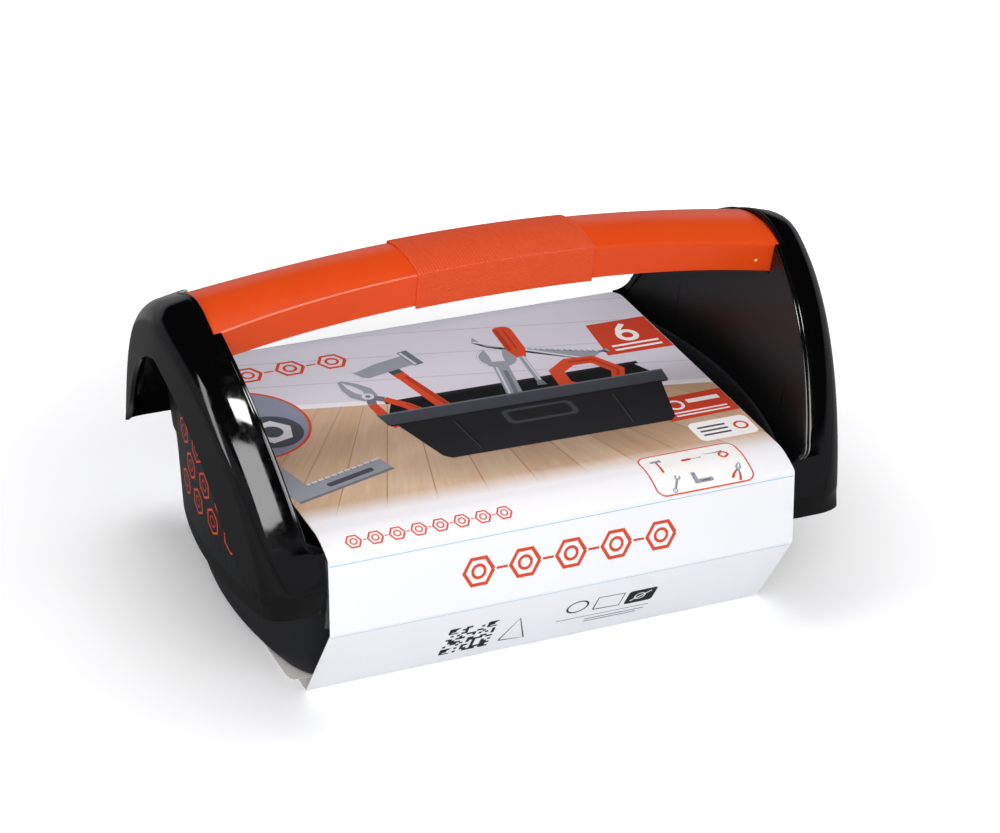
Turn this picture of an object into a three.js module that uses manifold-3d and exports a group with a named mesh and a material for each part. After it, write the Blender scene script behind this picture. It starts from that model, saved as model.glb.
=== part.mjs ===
// A toy tool box in its cardboard sleeve: a long black tray, two arched end caps that carry an
// orange handle, and six toy tools lying in the tray under the sleeve.
// Millimetres. X runs along the handle, +Z is up, the front faces -Y.
// The origin is in the middle of the underside of the sleeve, on the floor.

import * as THREE from 'three';
import { mergeVertices } from 'three/addons/utils/BufferGeometryUtils.js';
import Module from 'manifold-3d';

const wasm = await Module();
wasm.setup();

// Clearances
const gap = 0.3; // play between two pieces that touch
const overrun = 6; // how far a cutting solid passes what it cuts
const weld = 0.0001; // corners closer than this are one
const bite = 0.5; // how far two solids of one piece run into each other

// Side outline of the end caps: two wide arcs that meet under a small crown arc
const archRadius = 166;
const archBase = 30.3; // height of the arcs' centres
const crownRadius = 38.2;
const creaseHeight = 77; // where the arc ends and the skirt begins
const skirtHeight = 63.3; // lower edge of the skirt
const skirtTuck = 1.8; // how far the skirt leans in below the crease
const capStandOff = 5.8; // how far the crease stands out past the top of the band

// End caps, seen from above
const capHalfLength = 188; // middle of the box to the outer face
const flankInset = 7; // crease to the widest part of the outer face
const flankSweep = 21; // how far the outer face curves back at its foot
const capWall = 2.4;
const crownLift = 3.2; // the crown stands this much above the arch where it meets the handle
const crownFall = 6.6; // and falls by this much to the outer face
const crownReach = 105; // half width over which that fades out
const shoulderRadius = 10; // between the band and the outer face, at the crown
const cornerRadius = 13; // the same edge, at the skirt
const flankWidth = 25; // band to the edge of the arched opening, at the crown

// Inner lip of the caps. Depths run inwards from the middle of the outer face
const lipTopHeight = 180;
const lipTopDepth = 27.2;
const lipFootHeight = 105;
const lipFootDepth = 43.3;
const lipFillet = 9;
const lipDepth = 4;
const bandJoinDepth = 23; // where the cap meets the top of the handle

// End wall of the caps
const endWallHeight = 90; // the height at which the next size is taken
const endWallDepth = 28.5; // outer face of the end wall, in the middle
const endWallLeanHeight = 100;
const endWallLean = 4.5; // how far it leans out over that height
const endWallHalfWidth = 100;
const endWallBulge = 10.7; // how far it curves back over that half width, above the tray
const endWallFootBulge = 21; // the same, at the foot of the shield
const bulgeTopHeight = 110; // above this the bulge stays the same
const shieldHalfWidth = 61; // the part of the end wall that hangs down over the tray
const shieldFoot = 31;
const webFootInset = 6; // crease to the web, where the end wall runs down to the skirt
const webShieldHeight = 78; // its lower edge where it meets the shield

// Labels on the end shields
const labelHalfWidth = 50;
const labelFoot = 42;
const labelTop = 118;
const labelThick = 0.6;

// Tray
const cardThick = 0.5;
const trayFootInset = 30.3; // the band's crease to the tray's foot
const trayFootDepth = 43.2; // the cap's outer face to the end of the tray's foot
const rimHeight = 90.4;
const trayWall = 2.4;
const trayFootRadius = 4;
const trayFootBulge = 14.47; // how far the end of the foot curves back at its corners
const trayCornerStart = 62; // half width of the bulged middle of the tray's end
const trayCornerRun = 16; // run of the corner along the side, at the foot
const trayCornerRimRun = 31; // the same, at the rim

// Front and rear bands
const bandThick = 2;
const bandTopHalfWidth = 108.2;
const bandCreaseHeight = 58;
const bandCreaseHalfWidth = 113.3;
const bandFootDrop = 4.4; // crease to foot
const bandFootTuck = 1.2; // how far the foot leans in below the crease
const hookReach = 6.4; // the band's hook over the tray's rim
const hookThick = 1.3;
const badgeHalfLength = 58;
const badgeDrop = 4.4; // how far the badge hangs below the band in the middle
const badgeThick = 1;
const badgeTopDrop = 3;
const pegRadius = 2.5; // the two pegs behind each badge
const pegSpread = 36;
const pegDepth = 1.4;

// Handle
const creaseTopHeight = 197.9; // the long edge of the handle, in the middle
const handleHalfWidth = 24.6; // at the caps
const handleWaist = 4.4; // narrower in the middle by this much
const domeRise = 5.4;
const sideDraft = 1; // the sides lean in by this much at the foot
const handleDepth = 18.9; // crease to lower edge, in the middle
const handleEndDepth = 16.6; // the same, at the caps
const handleWall = 3.2;
const tongueDepth = 15; // the cap's outer face to the end of the tongue
const tongueThick = 6; // the tongue's top is thicker, to join the bar under the cap's crown
const gripHalfLength = 51.5;
const gripThick = 2.2;
const gripProud = 0.9; // how far the grip stands out from the bar
const gripLip = 1.2; // how far it hangs below the bar

// Cardboard sleeve
const sleeveDepth = 53.1; // the cap's outer face to the end of the sleeve
const sleeveFootStandOff = 5; // the tray's foot to the sleeve's lower corner
const sleeveStandOff = 2.68; // the band's crease to the face of the sleeve
const sleeveCreaseDrop = 6; // the sleeve's lower crease lies this far below the band's
const sleeveTopStandOff = 2.4; // the top of the band to the sleeve's upper crease
const sleeveTopCreaseLift = 1.2; // and how far that lies above the band
const sleeveTopLift = 7.3; // the top of the band to the top of the sleeve
const sleeveBendRun = 18.6; // the upper crease to where the top is level
const glueFlapInset = 4.8; // the end of the tray's foot to the end of the seam
const glueFlapFront = 77;
const glueFlapRear = 40;

// Tools. Their rooms are what they leave free, from the end of the tray's foot
const hammerFrontRoom = 55.8; // in front of the hammer's head
const hammerHeadWidth = 30;
const hammerHeadHeight = 28;
const hammerEndRoom = 52.8;
const hammerStartRoom = 60.8;
const hammerHandleWidth = 25;
const hammerHandleHeight = 17;
const hammerTangWidth = 13;

// Screwdriver
const driverShaftRadius = 4.2;
const driverHandleRadius = 12.5;
const driverHandleLength = 74;
const driverNeckRadius = 8;

// Saw
const sawEndRoom = 29.8;
const sawBladeHeight = 62;
const sawBladeTipHeight = 34;
const sawBladeThick = 3;
const sawToothPitch = 8;
const sawToothDepth = 5;
const sawHandleLength = 62;
const sawHandleHeight = 70;
const sawHandleThick = 14;
const sawHandleBar = 15; // width of the bars round the finger hole

// Spanner
const spannerHeadRadius = 15;
const spannerRingRadius = 12;
const spannerRingBore = 7;
const spannerWaist = 12;
const spannerThick = 7;
const spannerJaw = 13;

// Pliers
const pliersJawLength = 44;
const pliersJawWidth = 11;
const pliersEndRoom = 47.2;
const pliersArmWidth = 9;
const pliersSpread = 15; // centre line to an arm's middle at its end
const pliersThick = 12;
const pliersDiscRadius = 14;
const pliersPinRadius = 4;
const pliersPinHeadRadius = 6.5;
const pliersPinHeadHeight = 1.6;
const pliersPinFootHeight = 2.2; // the head under the pliers, which they lie on
const pliersGripShare = 0.714; // of the arm, that its sheath covers
const pliersGripCap = 3; // the sheath's closed end
const pliersGripWidth = 14;
const pliersGripThick = 15;
const pliersOpenAngle = 18; // degrees that the moving half opens

// Set square
const squareEndRoom = 54.8;
const squareHeight = 84;
const squareArm = 26;
const squareThick = 3.4;
const squareSlotLength = 60;
const squareSlotWidth = 7;

// Colours and finishes
const finish = {
  glossBlack: { color: 0x17181b, roughness: 0.14, metalness: 0 },
  satinBlack: { color: 0x202124, roughness: 0.42, metalness: 0 },
  slateGrey: { color: 0x55585c, roughness: 0.45, metalness: 0 },
  orange: { color: 0xe8501c, roughness: 0.28, metalness: 0 },
  orangeGrip: { color: 0xe04a18, roughness: 0.55, metalness: 0 },
  toolGrey: { color: 0x9a9fa6, roughness: 0.35, metalness: 0 },
  card: { color: 0xf2f3f7, roughness: 0.75, metalness: 0 },
  label: { color: 0x2a2f38, roughness: 0.35, metalness: 0 },
};

const group = new THREE.Group();

function addPiece(name, solid, look) {
  const mesh = new THREE.Mesh(solid.isBufferGeometry ? solid : geometryOf(solid));
  mesh.material = new THREE.MeshStandardMaterial(finish[look]);
  mesh.name = name;
  group.add(mesh);
  return mesh;
}

// Between three.js geometry and solids that can be cut and joined
function solidOf(geometry) {
  const bare = geometry.clone();
  bare.deleteAttribute('normal');
  bare.deleteAttribute('uv');
  const merged = mergeVertices(bare, weld);
  return new wasm.Manifold(new wasm.Mesh({
    numProp: 3,
    vertProperties: new Float32Array(merged.attributes.position.array),
    triVerts: new Uint32Array(merged.index.array),
  }));
}

function geometryOf(solid) {
  const mesh = solid.getMesh();
  const geometry = new THREE.BufferGeometry();
  const corners = new Float32Array(mesh.vertProperties);
  geometry.setAttribute('position', new THREE.BufferAttribute(corners, 3));
  geometry.setIndex(new THREE.BufferAttribute(new Uint32Array(mesh.triVerts), 1));
  return geometry;
}

// An outline in the plane across one axis, drawn out along that axis from one place to another
const axisFrames = {
  x: [0, 0, 1, 0, 1, 0, 0, 0, 0, 1, 0, 0],
  y: [1, 0, 0, 0, 0, 0, -1, 0, 0, 1, 0, 0],
  z: [1, 0, 0, 0, 0, 1, 0, 0, 0, 0, 1, 0],
};

function prism(axis, outline, from, to, holes = []) {
  const shape = new THREE.Shape(outline.map(([u, v]) => new THREE.Vector2(u, v)));
  for (const hole of holes) {
    shape.holes.push(new THREE.Path(hole.map(([u, v]) => new THREE.Vector2(u, v))));
  }
  const geometry = new THREE.ExtrudeGeometry(shape, { depth: to - from, bevelEnabled: false });
  geometry.applyMatrix4(new THREE.Matrix4().set(...axisFrames[axis], 0, 0, 0, 1));
  if (axis === 'x') geometry.translate(from, 0, 0);
  if (axis === 'y') geometry.translate(0, to, 0);
  if (axis === 'z') geometry.translate(0, 0, from);
  return solidOf(geometry);
}

function block(x0, x1, y0, y1, z0, z1) {
  const geometry = new THREE.BoxGeometry(x1 - x0, y1 - y0, z1 - z0);
  geometry.translate((x0 + x1) / 2, (y0 + y1) / 2, (z0 + z1) / 2);
  return solidOf(geometry);
}

function rod(radius, from, to, sides) {
  const axis = new THREE.Vector3(...to).sub(new THREE.Vector3(...from));
  const geometry = new THREE.CylinderGeometry(radius, radius, axis.length(), sides);
  const turn = new THREE.Quaternion();
  turn.setFromUnitVectors(new THREE.Vector3(0, 1, 0), axis.clone().normalize());
  geometry.applyQuaternion(turn);
  geometry.translate((from[0] + to[0]) / 2, (from[1] + to[1]) / 2, (from[2] + to[2]) / 2);
  return solidOf(geometry);
}

// A skin over rings that all have the same number of points, closed at both ends
function loft(rings) {
  const count = rings[0].length;
  const points = rings.flat(2);
  const faces = [];
  for (let ring = 0; ring < rings.length - 1; ring++) {
    for (let i = 0; i < count; i++) {
      const a = ring * count + i;
      const b = ring * count + ((i + 1) % count);
      faces.push(a, b, b + count, a, b + count, a + count);
    }
  }
  const endFaces = (ring, base, flip) => {
    const origin = new THREE.Vector3(...ring[0]);
    const normal = new THREE.Vector3();
    for (let i = 0; i < count; i++) {
      const p = new THREE.Vector3(...ring[i]).sub(origin);
      const q = new THREE.Vector3(...ring[(i + 1) % count]).sub(origin);
      normal.add(p.cross(q));
    }
    normal.normalize();
    const helper = Math.abs(normal.x) < 0.9 ? new THREE.Vector3(1, 0, 0) : new THREE.Vector3(0, 1, 0);
    const u = helper.cross(normal).normalize();
    const v = normal.clone().cross(u);
    const flat = ring.map((p) => {
      const d = new THREE.Vector3(...p).sub(origin);
      return new THREE.Vector2(d.dot(u), d.dot(v));
    });
    for (const [a, b, c] of THREE.ShapeUtils.triangulateShape(flat, [])) {
      if (flip) faces.push(base + a, base + c, base + b);
      else faces.push(base + a, base + b, base + c);
    }
  };
  endFaces(rings[0], 0, true);
  endFaces(rings[rings.length - 1], (rings.length - 1) * count, false);
  const geometry = new THREE.BufferGeometry();
  geometry.setAttribute('position', new THREE.BufferAttribute(new Float32Array(points), 3));
  geometry.setIndex(faces);
  const solid = solidOf(geometry);
  return solid.volume() < 0 ? solidOf(turnedOver(geometry)) : solid;
}

function turnedOver(geometry) {
  const index = geometry.index.array;
  for (let i = 0; i < index.length; i += 3) [index[i], index[i + 1]] = [index[i + 1], index[i]];
  return geometry;
}

const mirrored = (outline) => [...outline, ...outline.map(([u, v]) => [-u, v]).reverse()];
const radians = (degrees) => (degrees * Math.PI) / 180;
const mix = (a, b, t) => a + (b - a) * t;

// Places along the box, from the cap's outer face inwards
const bandJoinX = capHalfLength - bandJoinDepth;
const lipTopX = capHalfLength - lipTopDepth;
const lipFootX = capHalfLength - lipFootDepth;
const endWallX = capHalfLength - endWallDepth;
const trayFootX = capHalfLength - trayFootDepth;
const tongueEndX = capHalfLength - tongueDepth;
const sleeveHalfLength = capHalfLength - sleeveDepth;

// Places across the box: tray, band, sleeve and cap follow one another
const trayRimHalfWidth = bandTopHalfWidth - bandThick - gap;
const trayFootHalfWidth = bandCreaseHalfWidth - trayFootInset;
const bandTopHeight = rimHeight + gap + hookThick;
const bandFootHeight = bandCreaseHeight - bandFootDrop;
const bandFootHalfWidth = bandCreaseHalfWidth - bandFootTuck;
const creaseHalfWidth = bandTopHalfWidth + capStandOff;
const flankReach = creaseHalfWidth - flankInset;
const webFootHalfWidth = creaseHalfWidth - webFootInset;

// Side outline of the caps, from the crown down to the skirt
const creaseAngle = Math.acos((creaseHeight - archBase) / archRadius);
const archOffset = archRadius * Math.sin(creaseAngle) - creaseHalfWidth;
const crownCentre = archBase + Math.sqrt((archRadius - crownRadius) ** 2 - archOffset ** 2);
const crownHeight = crownCentre + crownRadius;
const crownAngle = Math.asin(archOffset / (archRadius - crownRadius));

function archStation(angle) {
  const [s, c] = [Math.sin(angle), Math.cos(angle)];
  if (angle <= crownAngle) {
    return { y: crownRadius * s, z: crownCentre + crownRadius * c, ny: s, nz: c };
  }
  return { y: archRadius * s - archOffset, z: archBase + archRadius * c, ny: s, nz: c };
}

function skirtStation(down) {
  const drop = creaseHeight - skirtHeight;
  const length = Math.hypot(drop, skirtTuck);
  return {
    y: creaseHalfWidth - skirtTuck * down,
    z: creaseHeight - drop * down,
    ny: drop / length,
    nz: -skirtTuck / length,
  };
}

// The width of the outer face follows the arched opening: shares of flankWidth, by how far down
const flankWidthShares = [
  [0, 1], [0.25, 1.03], [0.5, 1.2], [0.66, 1.2], [0.78, 0.8], [0.9, 0.5], [1, 0.24],
];
const skirtShare = 0.22; // the skirt's part of the way down

function flankWidthAt(way) {
  const after = flankWidthShares.findIndex(([share]) => share >= way - 1e-9);
  if (after <= 0) return flankWidth * flankWidthShares[0][1];
  const [w0, s0] = flankWidthShares[after - 1];
  const [w1, s1] = flankWidthShares[after];
  return flankWidth * mix(s0, s1, (way - w0) / (w1 - w0));
}

const flankX = (y) => capHalfLength - flankSweep * (Math.abs(y) / flankReach) ** 1.5;
const footX = sleeveHalfLength + gap + cardThick; // where the cap's foot meets the sleeve
const lipSlope = (lipTopX - lipFootX) / (lipTopHeight - lipFootHeight);
const neckHalfWidth = handleHalfWidth + gap;

function lipX(y, z) {
  if (y < neckHalfWidth + gap) return bandJoinX;
  if (z >= lipFootHeight) return lipFootX + lipSlope * (z - lipFootHeight);
  const below = lipFootHeight - z;
  if (below >= lipFillet) return footX;
  return footX + (lipFootX - footX) * Math.sqrt(1 - (below / lipFillet) ** 2);
}

// Stations from crown to skirt: even steps, with extra ones at the notch and at the lip's fillet
const archSteps = 14;
const angles = [];
for (let i = 0; i <= archSteps; i++) angles.push((creaseAngle * i) / archSteps);
const notchAngle = Math.asin((neckHalfWidth + archOffset) / archRadius);
const notchStep = Math.asin((neckHalfWidth + 2 * gap + archOffset) / archRadius);
angles.push(notchAngle, notchStep);
for (const share of [0, 0.35, 0.7, 0.9, 1]) {
  angles.push(Math.acos((lipFootHeight - lipFillet * share - archBase) / archRadius));
}
angles.sort((a, b) => a - b);
const halfStations = angles.map((angle) => ({
  ...archStation(angle),
  way: (1 - skirtShare) * (angle / creaseAngle),
}));
for (const down of [0.34, 0.67, 1]) {
  halfStations.push({ ...skirtStation(down), way: 1 - skirtShare + skirtShare * down });
}
const stations = [
  ...halfStations.slice(1).reverse().map((s) => ({ ...s, y: -s.y, ny: -s.ny })),
  ...halfStations,
];

// The crown slopes down outwards, in line with the handle
function crownRise(x, side) {
  const fade = Math.max(1 - (side / crownReach) ** 2, 0) ** 2;
  return fade * (crownLift - (crownFall * (x - bandJoinX)) / (capHalfLength - bandJoinX));
}

// One ring of the hood's shell, square to the arch: out over the band, round the shoulder,
// down the outer face to the arched opening, and back inside
const shoulderSteps = 4;
const flankSteps = 3;

function hoodRing({ y, z, ny, nz, way }) {
  const side = Math.abs(y);
  const lip = lipX(side, z);
  const width = flankWidthAt(way);
  const run = mix(shoulderRadius, cornerRadius, way);
  const fall = Math.min(run, width * 0.8);
  const rim = side < neckHalfWidth + gap ? capWall : lipDepth;
  const place = (x, depth) => [x, y - ny * depth, z - nz * depth + crownRise(x, side)];
  const faceX = (depth) => flankX(y - ny * depth);
  const ring = [place(lip, rim), place(lip, capWall * 0.5), place(lip + capWall * 0.5, 0)];
  for (let i = 0; i <= shoulderSteps; i++) {
    const turn = (Math.PI / 2) * (i / shoulderSteps);
    const depth = fall * (1 - Math.cos(turn));
    ring.push(place(faceX(depth) - run * (1 - Math.sin(turn)), depth));
  }
  for (let i = 1; i <= flankSteps; i++) {
    const depth = mix(fall, width, i / flankSteps);
    ring.push(place(faceX(depth), depth));
  }
  for (let i = flankSteps; i >= 1; i--) {
    const depth = mix(Math.max(fall, capWall + bite), width, i / flankSteps);
    ring.push(place(faceX(depth) - capWall, depth));
  }
  for (let i = shoulderSteps; i >= 0; i--) {
    const turn = (Math.PI / 2) * (i / shoulderSteps);
    const depth = capWall + Math.max(fall - capWall, bite) * (1 - Math.cos(turn));
    ring.push(place(faceX(depth) - capWall - (run - capWall) * (1 - Math.sin(turn)), depth));
  }
  ring.push(place(lip + capWall + bite, capWall), place(lip + capWall, rim));
  return ring;
}

// The side outline at x, moved inwards, as a closed ring down to a level foot
function archRing(x, inset, foot) {
  return stations
    .filter(({ z, nz }) => z - nz * inset > foot)
    .map(({ y, z, ny, nz }) => [y - ny * inset, z - nz * inset + crownRise(x, Math.abs(y))])
    .concat([[creaseHalfWidth - inset, foot], [-(creaseHalfWidth - inset), foot]])
    .map(([y, z]) => [x, y, z]);
}

// End wall: bulged and leaning a little out
const wallLean = (z) => (endWallLean * (z - endWallHeight)) / endWallLeanHeight;

function wallBulge(y, z) {
  const up = Math.min(Math.max((bulgeTopHeight - z) / (bulgeTopHeight - shieldFoot), 0), 1);
  return mix(endWallBulge, endWallFootBulge, up) * (y / endWallHalfWidth) ** 2;
}

const wallX = (y, z) => endWallX + wallLean(z) - wallBulge(y, z);

function bulgedSlab(outset, thick, halfWidth, levels) {
  const steps = 16;
  return loft(levels.map((z) => {
    const outer = [];
    const inner = [];
    for (let i = 0; i <= steps; i++) {
      const y = halfWidth * ((2 * i) / steps - 1);
      outer.push([wallX(y, z) + outset, y, z]);
      inner.unshift([wallX(y, z) + outset - thick, y, z]);
    }
    return [...outer, ...inner];
  }));
}

// Handle outline by distance from the middle
const along = (x) => Math.min(Math.abs(x) / bandJoinX, 1);
const creaseEndHeight = crownHeight - domeRise;
const handleCrease = (x) => mix(creaseTopHeight, creaseEndHeight, along(x) ** 2.1);
const handleFoot = (x) => handleCrease(x) - mix(handleDepth, handleEndDepth, along(x) ** 2);
const handleSide = (x) => handleHalfWidth - handleWaist * (1 - along(x) ** 3.2);

const handleDome = (x) => domeRise * (handleSide(x) / handleHalfWidth) ** 2.5;

// Half outline of the handle's channel from the middle of its top to its foot, moved in by inset
const domeSteps = 4;
function handleHalf(x, inset, footDrop) {
  const side = handleSide(x) - inset;
  const points = [];
  for (let i = 0; i <= domeSteps; i++) {
    const share = i / domeSteps;
    points.push([side * share, handleCrease(x) + handleDome(x) * (1 - share ** 2) - inset]);
  }
  points.push([side - sideDraft, handleFoot(x) - footDrop]);
  return points;
}

function channelRing(x, inset, thick, footDrop) {
  const outer = handleHalf(x, inset, footDrop);
  const inner = handleHalf(x, inset + thick, footDrop);
  const loop = [
    ...outer.slice().reverse(),
    ...outer.slice(1).map(([y, z]) => [-y, z]),
    ...inner.slice().reverse().map(([y, z]) => [-y, z]),
    ...inner.slice(1),
  ];
  return loop.map(([y, z]) => [x, y, z]);
}

const gripStations = [-1, -0.75, -0.5, -0.25, 0, 0.25, 0.5, 0.75, 1].map((s) => s * gripHalfLength);

// Handle bar: an open channel, thinner under the grip, with a tongue at each end
const gripSeat = gripHalfLength + gap;
const seatDepth = gripThick - gripProud + gap;
const barStations = [];
for (const share of [0, 0.12, 0.25, 0.4, 0.55, 0.7, 0.85, 1]) {
  barStations.push(mix(gripSeat + bite, bandJoinX - gap, share));
}
const leftStations = barStations.map((x) => -x).reverse();
const allStations = [...leftStations, ...gripStations.slice(1, -1), ...barStations];
let handleBar = loft(allStations.map((x) => channelRing(x, 0, handleWall, 0)));
const seatCut = [-gripSeat, ...gripStations.slice(1, -1), gripSeat];
const seatRing = (x) => {
  const inner = handleHalf(x, seatDepth, overrun).map(([y, z]) => [x, y, z]);
  const far = handleHalf(x, -overrun, overrun).map(([y, z]) => [x, y, z]);
  const flip = (points) => points.map(([px, py, pz]) => [px, -py, pz]);
  return [
    ...inner.slice().reverse(), ...flip(inner.slice(1)),
    ...flip(far).reverse(), ...far.slice(1),
  ];
};
handleBar = handleBar.subtract(loft(seatCut.map(seatRing)));

// Each tongue starts in the bar's wall and runs out under the cap's crown
function tongueHalf(x, inset) {
  if (Math.abs(x) < bandJoinX) return handleHalf(x, handleWall / 2 + inset, 0);
  const points = [];
  const reach = handleSide(bandJoinX) - capWall - 2 * gap - inset;
  for (let i = 0; i <= domeSteps; i++) {
    const y = (reach * i) / domeSteps;
    const onCrown = y <= crownRadius * Math.sin(crownAngle);
    const angle = onCrown ? Math.asin(y / crownRadius) : Math.asin((y + archOffset) / archRadius);
    points.push([y, archStation(angle).z - capWall - 2 * gap - inset]);
  }
  points.push([reach - sideDraft, handleFoot(x)]);
  return points;
}

const flipped = (points) => points.map(([y, z]) => [-y, z]);
function tongueRing(x) {
  const outer = tongueHalf(x, 0);
  const inner = tongueHalf(x, tongueThick);
  return [
    ...outer.slice().reverse(),
    ...flipped(outer.slice(1)),
    ...flipped(inner).reverse(),
    ...inner.slice(1),
  ].map(([y, z]) => [x, y, z]);
}
for (const end of [-1, 1]) {
  const places = [bandJoinX - 2 * tongueThick, bandJoinX, tongueEndX].map((x) => x * end);
  places.sort((a, b) => a - b);
  handleBar = handleBar.add(loft(places.map(tongueRing)));
}
addPiece('handle_bar', handleBar, 'orange');

// Grip: a textured cover over the middle of the bar
const gripRings = gripStations.map((x) => channelRing(x, -gripProud, gripThick, gripLip));
addPiece('handle_grip', loft(gripRings), 'orangeGrip');

// End caps
function endCap() {
  let cap = loft(stations.map(hoodRing));
  const wallTop = crownHeight + crownLift + overrun;
  const levels = [shieldFoot - overrun];
  const levelCount = 7;
  for (let i = 0; i <= levelCount; i++) levels.push(mix(shieldFoot, wallTop, i / levelCount));
  let wall = bulgedSlab(0, capWall, creaseHalfWidth, levels);
  const inHood = loft([footX - overrun, lipTopX, capHalfLength]
    .map((x) => archRing(x, capWall - bite, skirtHeight)));
  const shieldOutline = mirrored([[shieldHalfWidth, shieldFoot], [shieldHalfWidth, rimHeight]]);
  const shield = prism('x', shieldOutline, 0, capHalfLength);
  wall = wall.intersect(inHood.add(shield));
  wall = wall.subtract(block(0, footX, -creaseHalfWidth, creaseHalfWidth, 0, wallTop));
  // Over the tray's rounded corners the wall stops above the rim, and runs down to the skirt outside it
  const corner = [
    [shieldHalfWidth, skirtHeight - overrun], [webFootHalfWidth, skirtHeight - overrun],
    [webFootHalfWidth, skirtHeight], [shieldHalfWidth, webShieldHeight],
  ];
  wall = wall.subtract(prism('x', corner, 0, capHalfLength));
  wall = wall.subtract(prism('x', corner.map(([y, z]) => [-y, z]), 0, capHalfLength));
  cap = cap.add(wall);
  const footFall = Math.max(handleFoot(bandJoinX) - handleFoot(lipTopX), 0);
  // The mouth for the handle is open at its top, so the end wall has no sliver above the handle
  const [crease, foot] = handleHalf(bandJoinX, -gap, gap + footFall).slice(domeSteps);
  const window = mirrored([foot, crease, [crease[0], wallTop]]);
  return cap.subtract(prism('x', window, lipFootX, bandJoinX));
}
const rightCap = endCap();
addPiece('end_cap_right', rightCap, 'glossBlack');
addPiece('end_cap_left', rightCap.mirror([1, 0, 0]), 'glossBlack');

// Labels on the shields
const labelLevels = [0, 0.25, 0.5, 0.75, 1].map((s) => mix(labelFoot, labelTop, s));
const rightLabel = bulgedSlab(labelThick + gap, labelThick, labelHalfWidth, labelLevels);
addPiece('end_label_right', rightLabel, 'label');
addPiece('end_label_left', rightLabel.mirror([1, 0, 0]), 'label');

// Tray: a tapered tub with bulged ends
const trayFoot = 2 * cardThick + gap;
const trayRise = (z) => (z - trayFoot) / (rimHeight - trayFoot);
const trayHalfWidth = (z) => mix(trayFootHalfWidth, trayRimHalfWidth, trayRise(z));

function trayEndX(y, z) {
  const up = Math.min((z - trayFoot) / (shieldFoot - trayFoot), 1);
  const inShield = capWall + gap;
  const besideShield = wallX(y, Math.max(z, shieldFoot)) - inShield;
  const belowShield = wallX(y, shieldFoot) - inShield + wallLean(z) - wallLean(shieldFoot);
  const foot = trayFootX - trayFootBulge * (y / trayFootHalfWidth) ** 2;
  return mix(foot, Math.min(besideShield, belowShield), up);
}

function trayRing(z, inset, drop = 0) {
  const halfWidth = trayHalfWidth(z) - inset;
  const start = trayCornerStart - inset;
  const run = mix(trayCornerRun, trayCornerRimRun, trayRise(z));
  const slope = (trayEndX(start + bite, z) - trayEndX(start, z)) / bite;
  const startX = trayEndX(start, z) - inset;
  const ctrl = [startX + slope * (halfWidth - start), halfWidth];
  const quarter = [];
  for (let i = 0; i <= 4; i++) {
    const y = (start * i) / 4;
    quarter.push([trayEndX(y, z) - inset, y]);
  }
  for (let i = 1; i <= 6; i++) {
    const t = i / 6;
    const [a, b, c] = [(1 - t) ** 2, 2 * t * (1 - t), t ** 2];
    quarter.push([
      a * startX + b * ctrl[0] + c * (ctrl[0] - run),
      a * start + b * ctrl[1] + c * halfWidth,
    ]);
  }
  const rightHalf = [...quarter.slice(1).reverse().map(([x, y]) => [x, -y]), ...quarter];
  const ring = [...rightHalf, ...rightHalf.map(([x, y]) => [-x, y]).reverse()];
  return ring.map(([x, y]) => [x, y, z - drop]);
}

const trayLevels = [trayFoot + trayFootRadius, shieldFoot, mix(shieldFoot, rimHeight, 0.5), rimHeight];
const trayOuter = loft([
  trayRing(trayFoot, trayFootRadius * 0.7),
  trayRing(trayFoot + trayFootRadius * 0.3, trayFootRadius * 0.25),
  ...trayLevels.map((z) => trayRing(z, 0)),
]);
const trayFloor = trayFoot + trayWall;
const trayHollow = loft([
  trayRing(trayFloor, trayWall + trayFootRadius * 0.5),
  trayRing(trayFloor + trayFootRadius, trayWall),
  ...trayLevels.slice(1).map((z) => trayRing(z, trayWall)),
  trayRing(rimHeight, trayWall, -overrun),
]);
let tray = trayOuter.subtract(trayHollow);

// Bands: a leaning strip on each long side that hooks over the tray's rim
const bandHalfLength = footX - gap;
const bandOutline = [
  [bandTopHalfWidth, bandTopHeight], [bandTopHalfWidth - hookReach, bandTopHeight],
  [bandTopHalfWidth - hookReach, bandTopHeight - hookThick],
  [bandTopHalfWidth - bandThick, bandTopHeight - hookThick],
  [bandCreaseHalfWidth - bandThick, bandCreaseHeight], [bandFootHalfWidth - bandThick, bandFootHeight],
  [bandFootHalfWidth, bandFootHeight], [bandCreaseHalfWidth, bandCreaseHeight],
].reverse();
const bandLean = (bandCreaseHalfWidth - bandTopHalfWidth) / (bandTopHeight - bandCreaseHeight);
const bandFace = (z) => bandCreaseHalfWidth - bandLean * (z - bandCreaseHeight);
const pegHeight = mix(bandCreaseHeight, bandTopHeight, 0.5);
const pegHole = (radius, deep) => (x) => rod(radius, [x, bandFace(pegHeight) + overrun, pegHeight],
  [x, bandFace(pegHeight) - deep, pegHeight], 16);
let rearBand = prism('x', bandOutline, -bandHalfLength, bandHalfLength);
for (const x of [-pegSpread, pegSpread]) {
  rearBand = rearBand.subtract(pegHole(pegRadius + gap, pegDepth + gap)(x));
}
addPiece('rear_band', rearBand, 'slateGrey');
addPiece('front_band', rearBand.mirror([0, 1, 0]), 'slateGrey');

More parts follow.
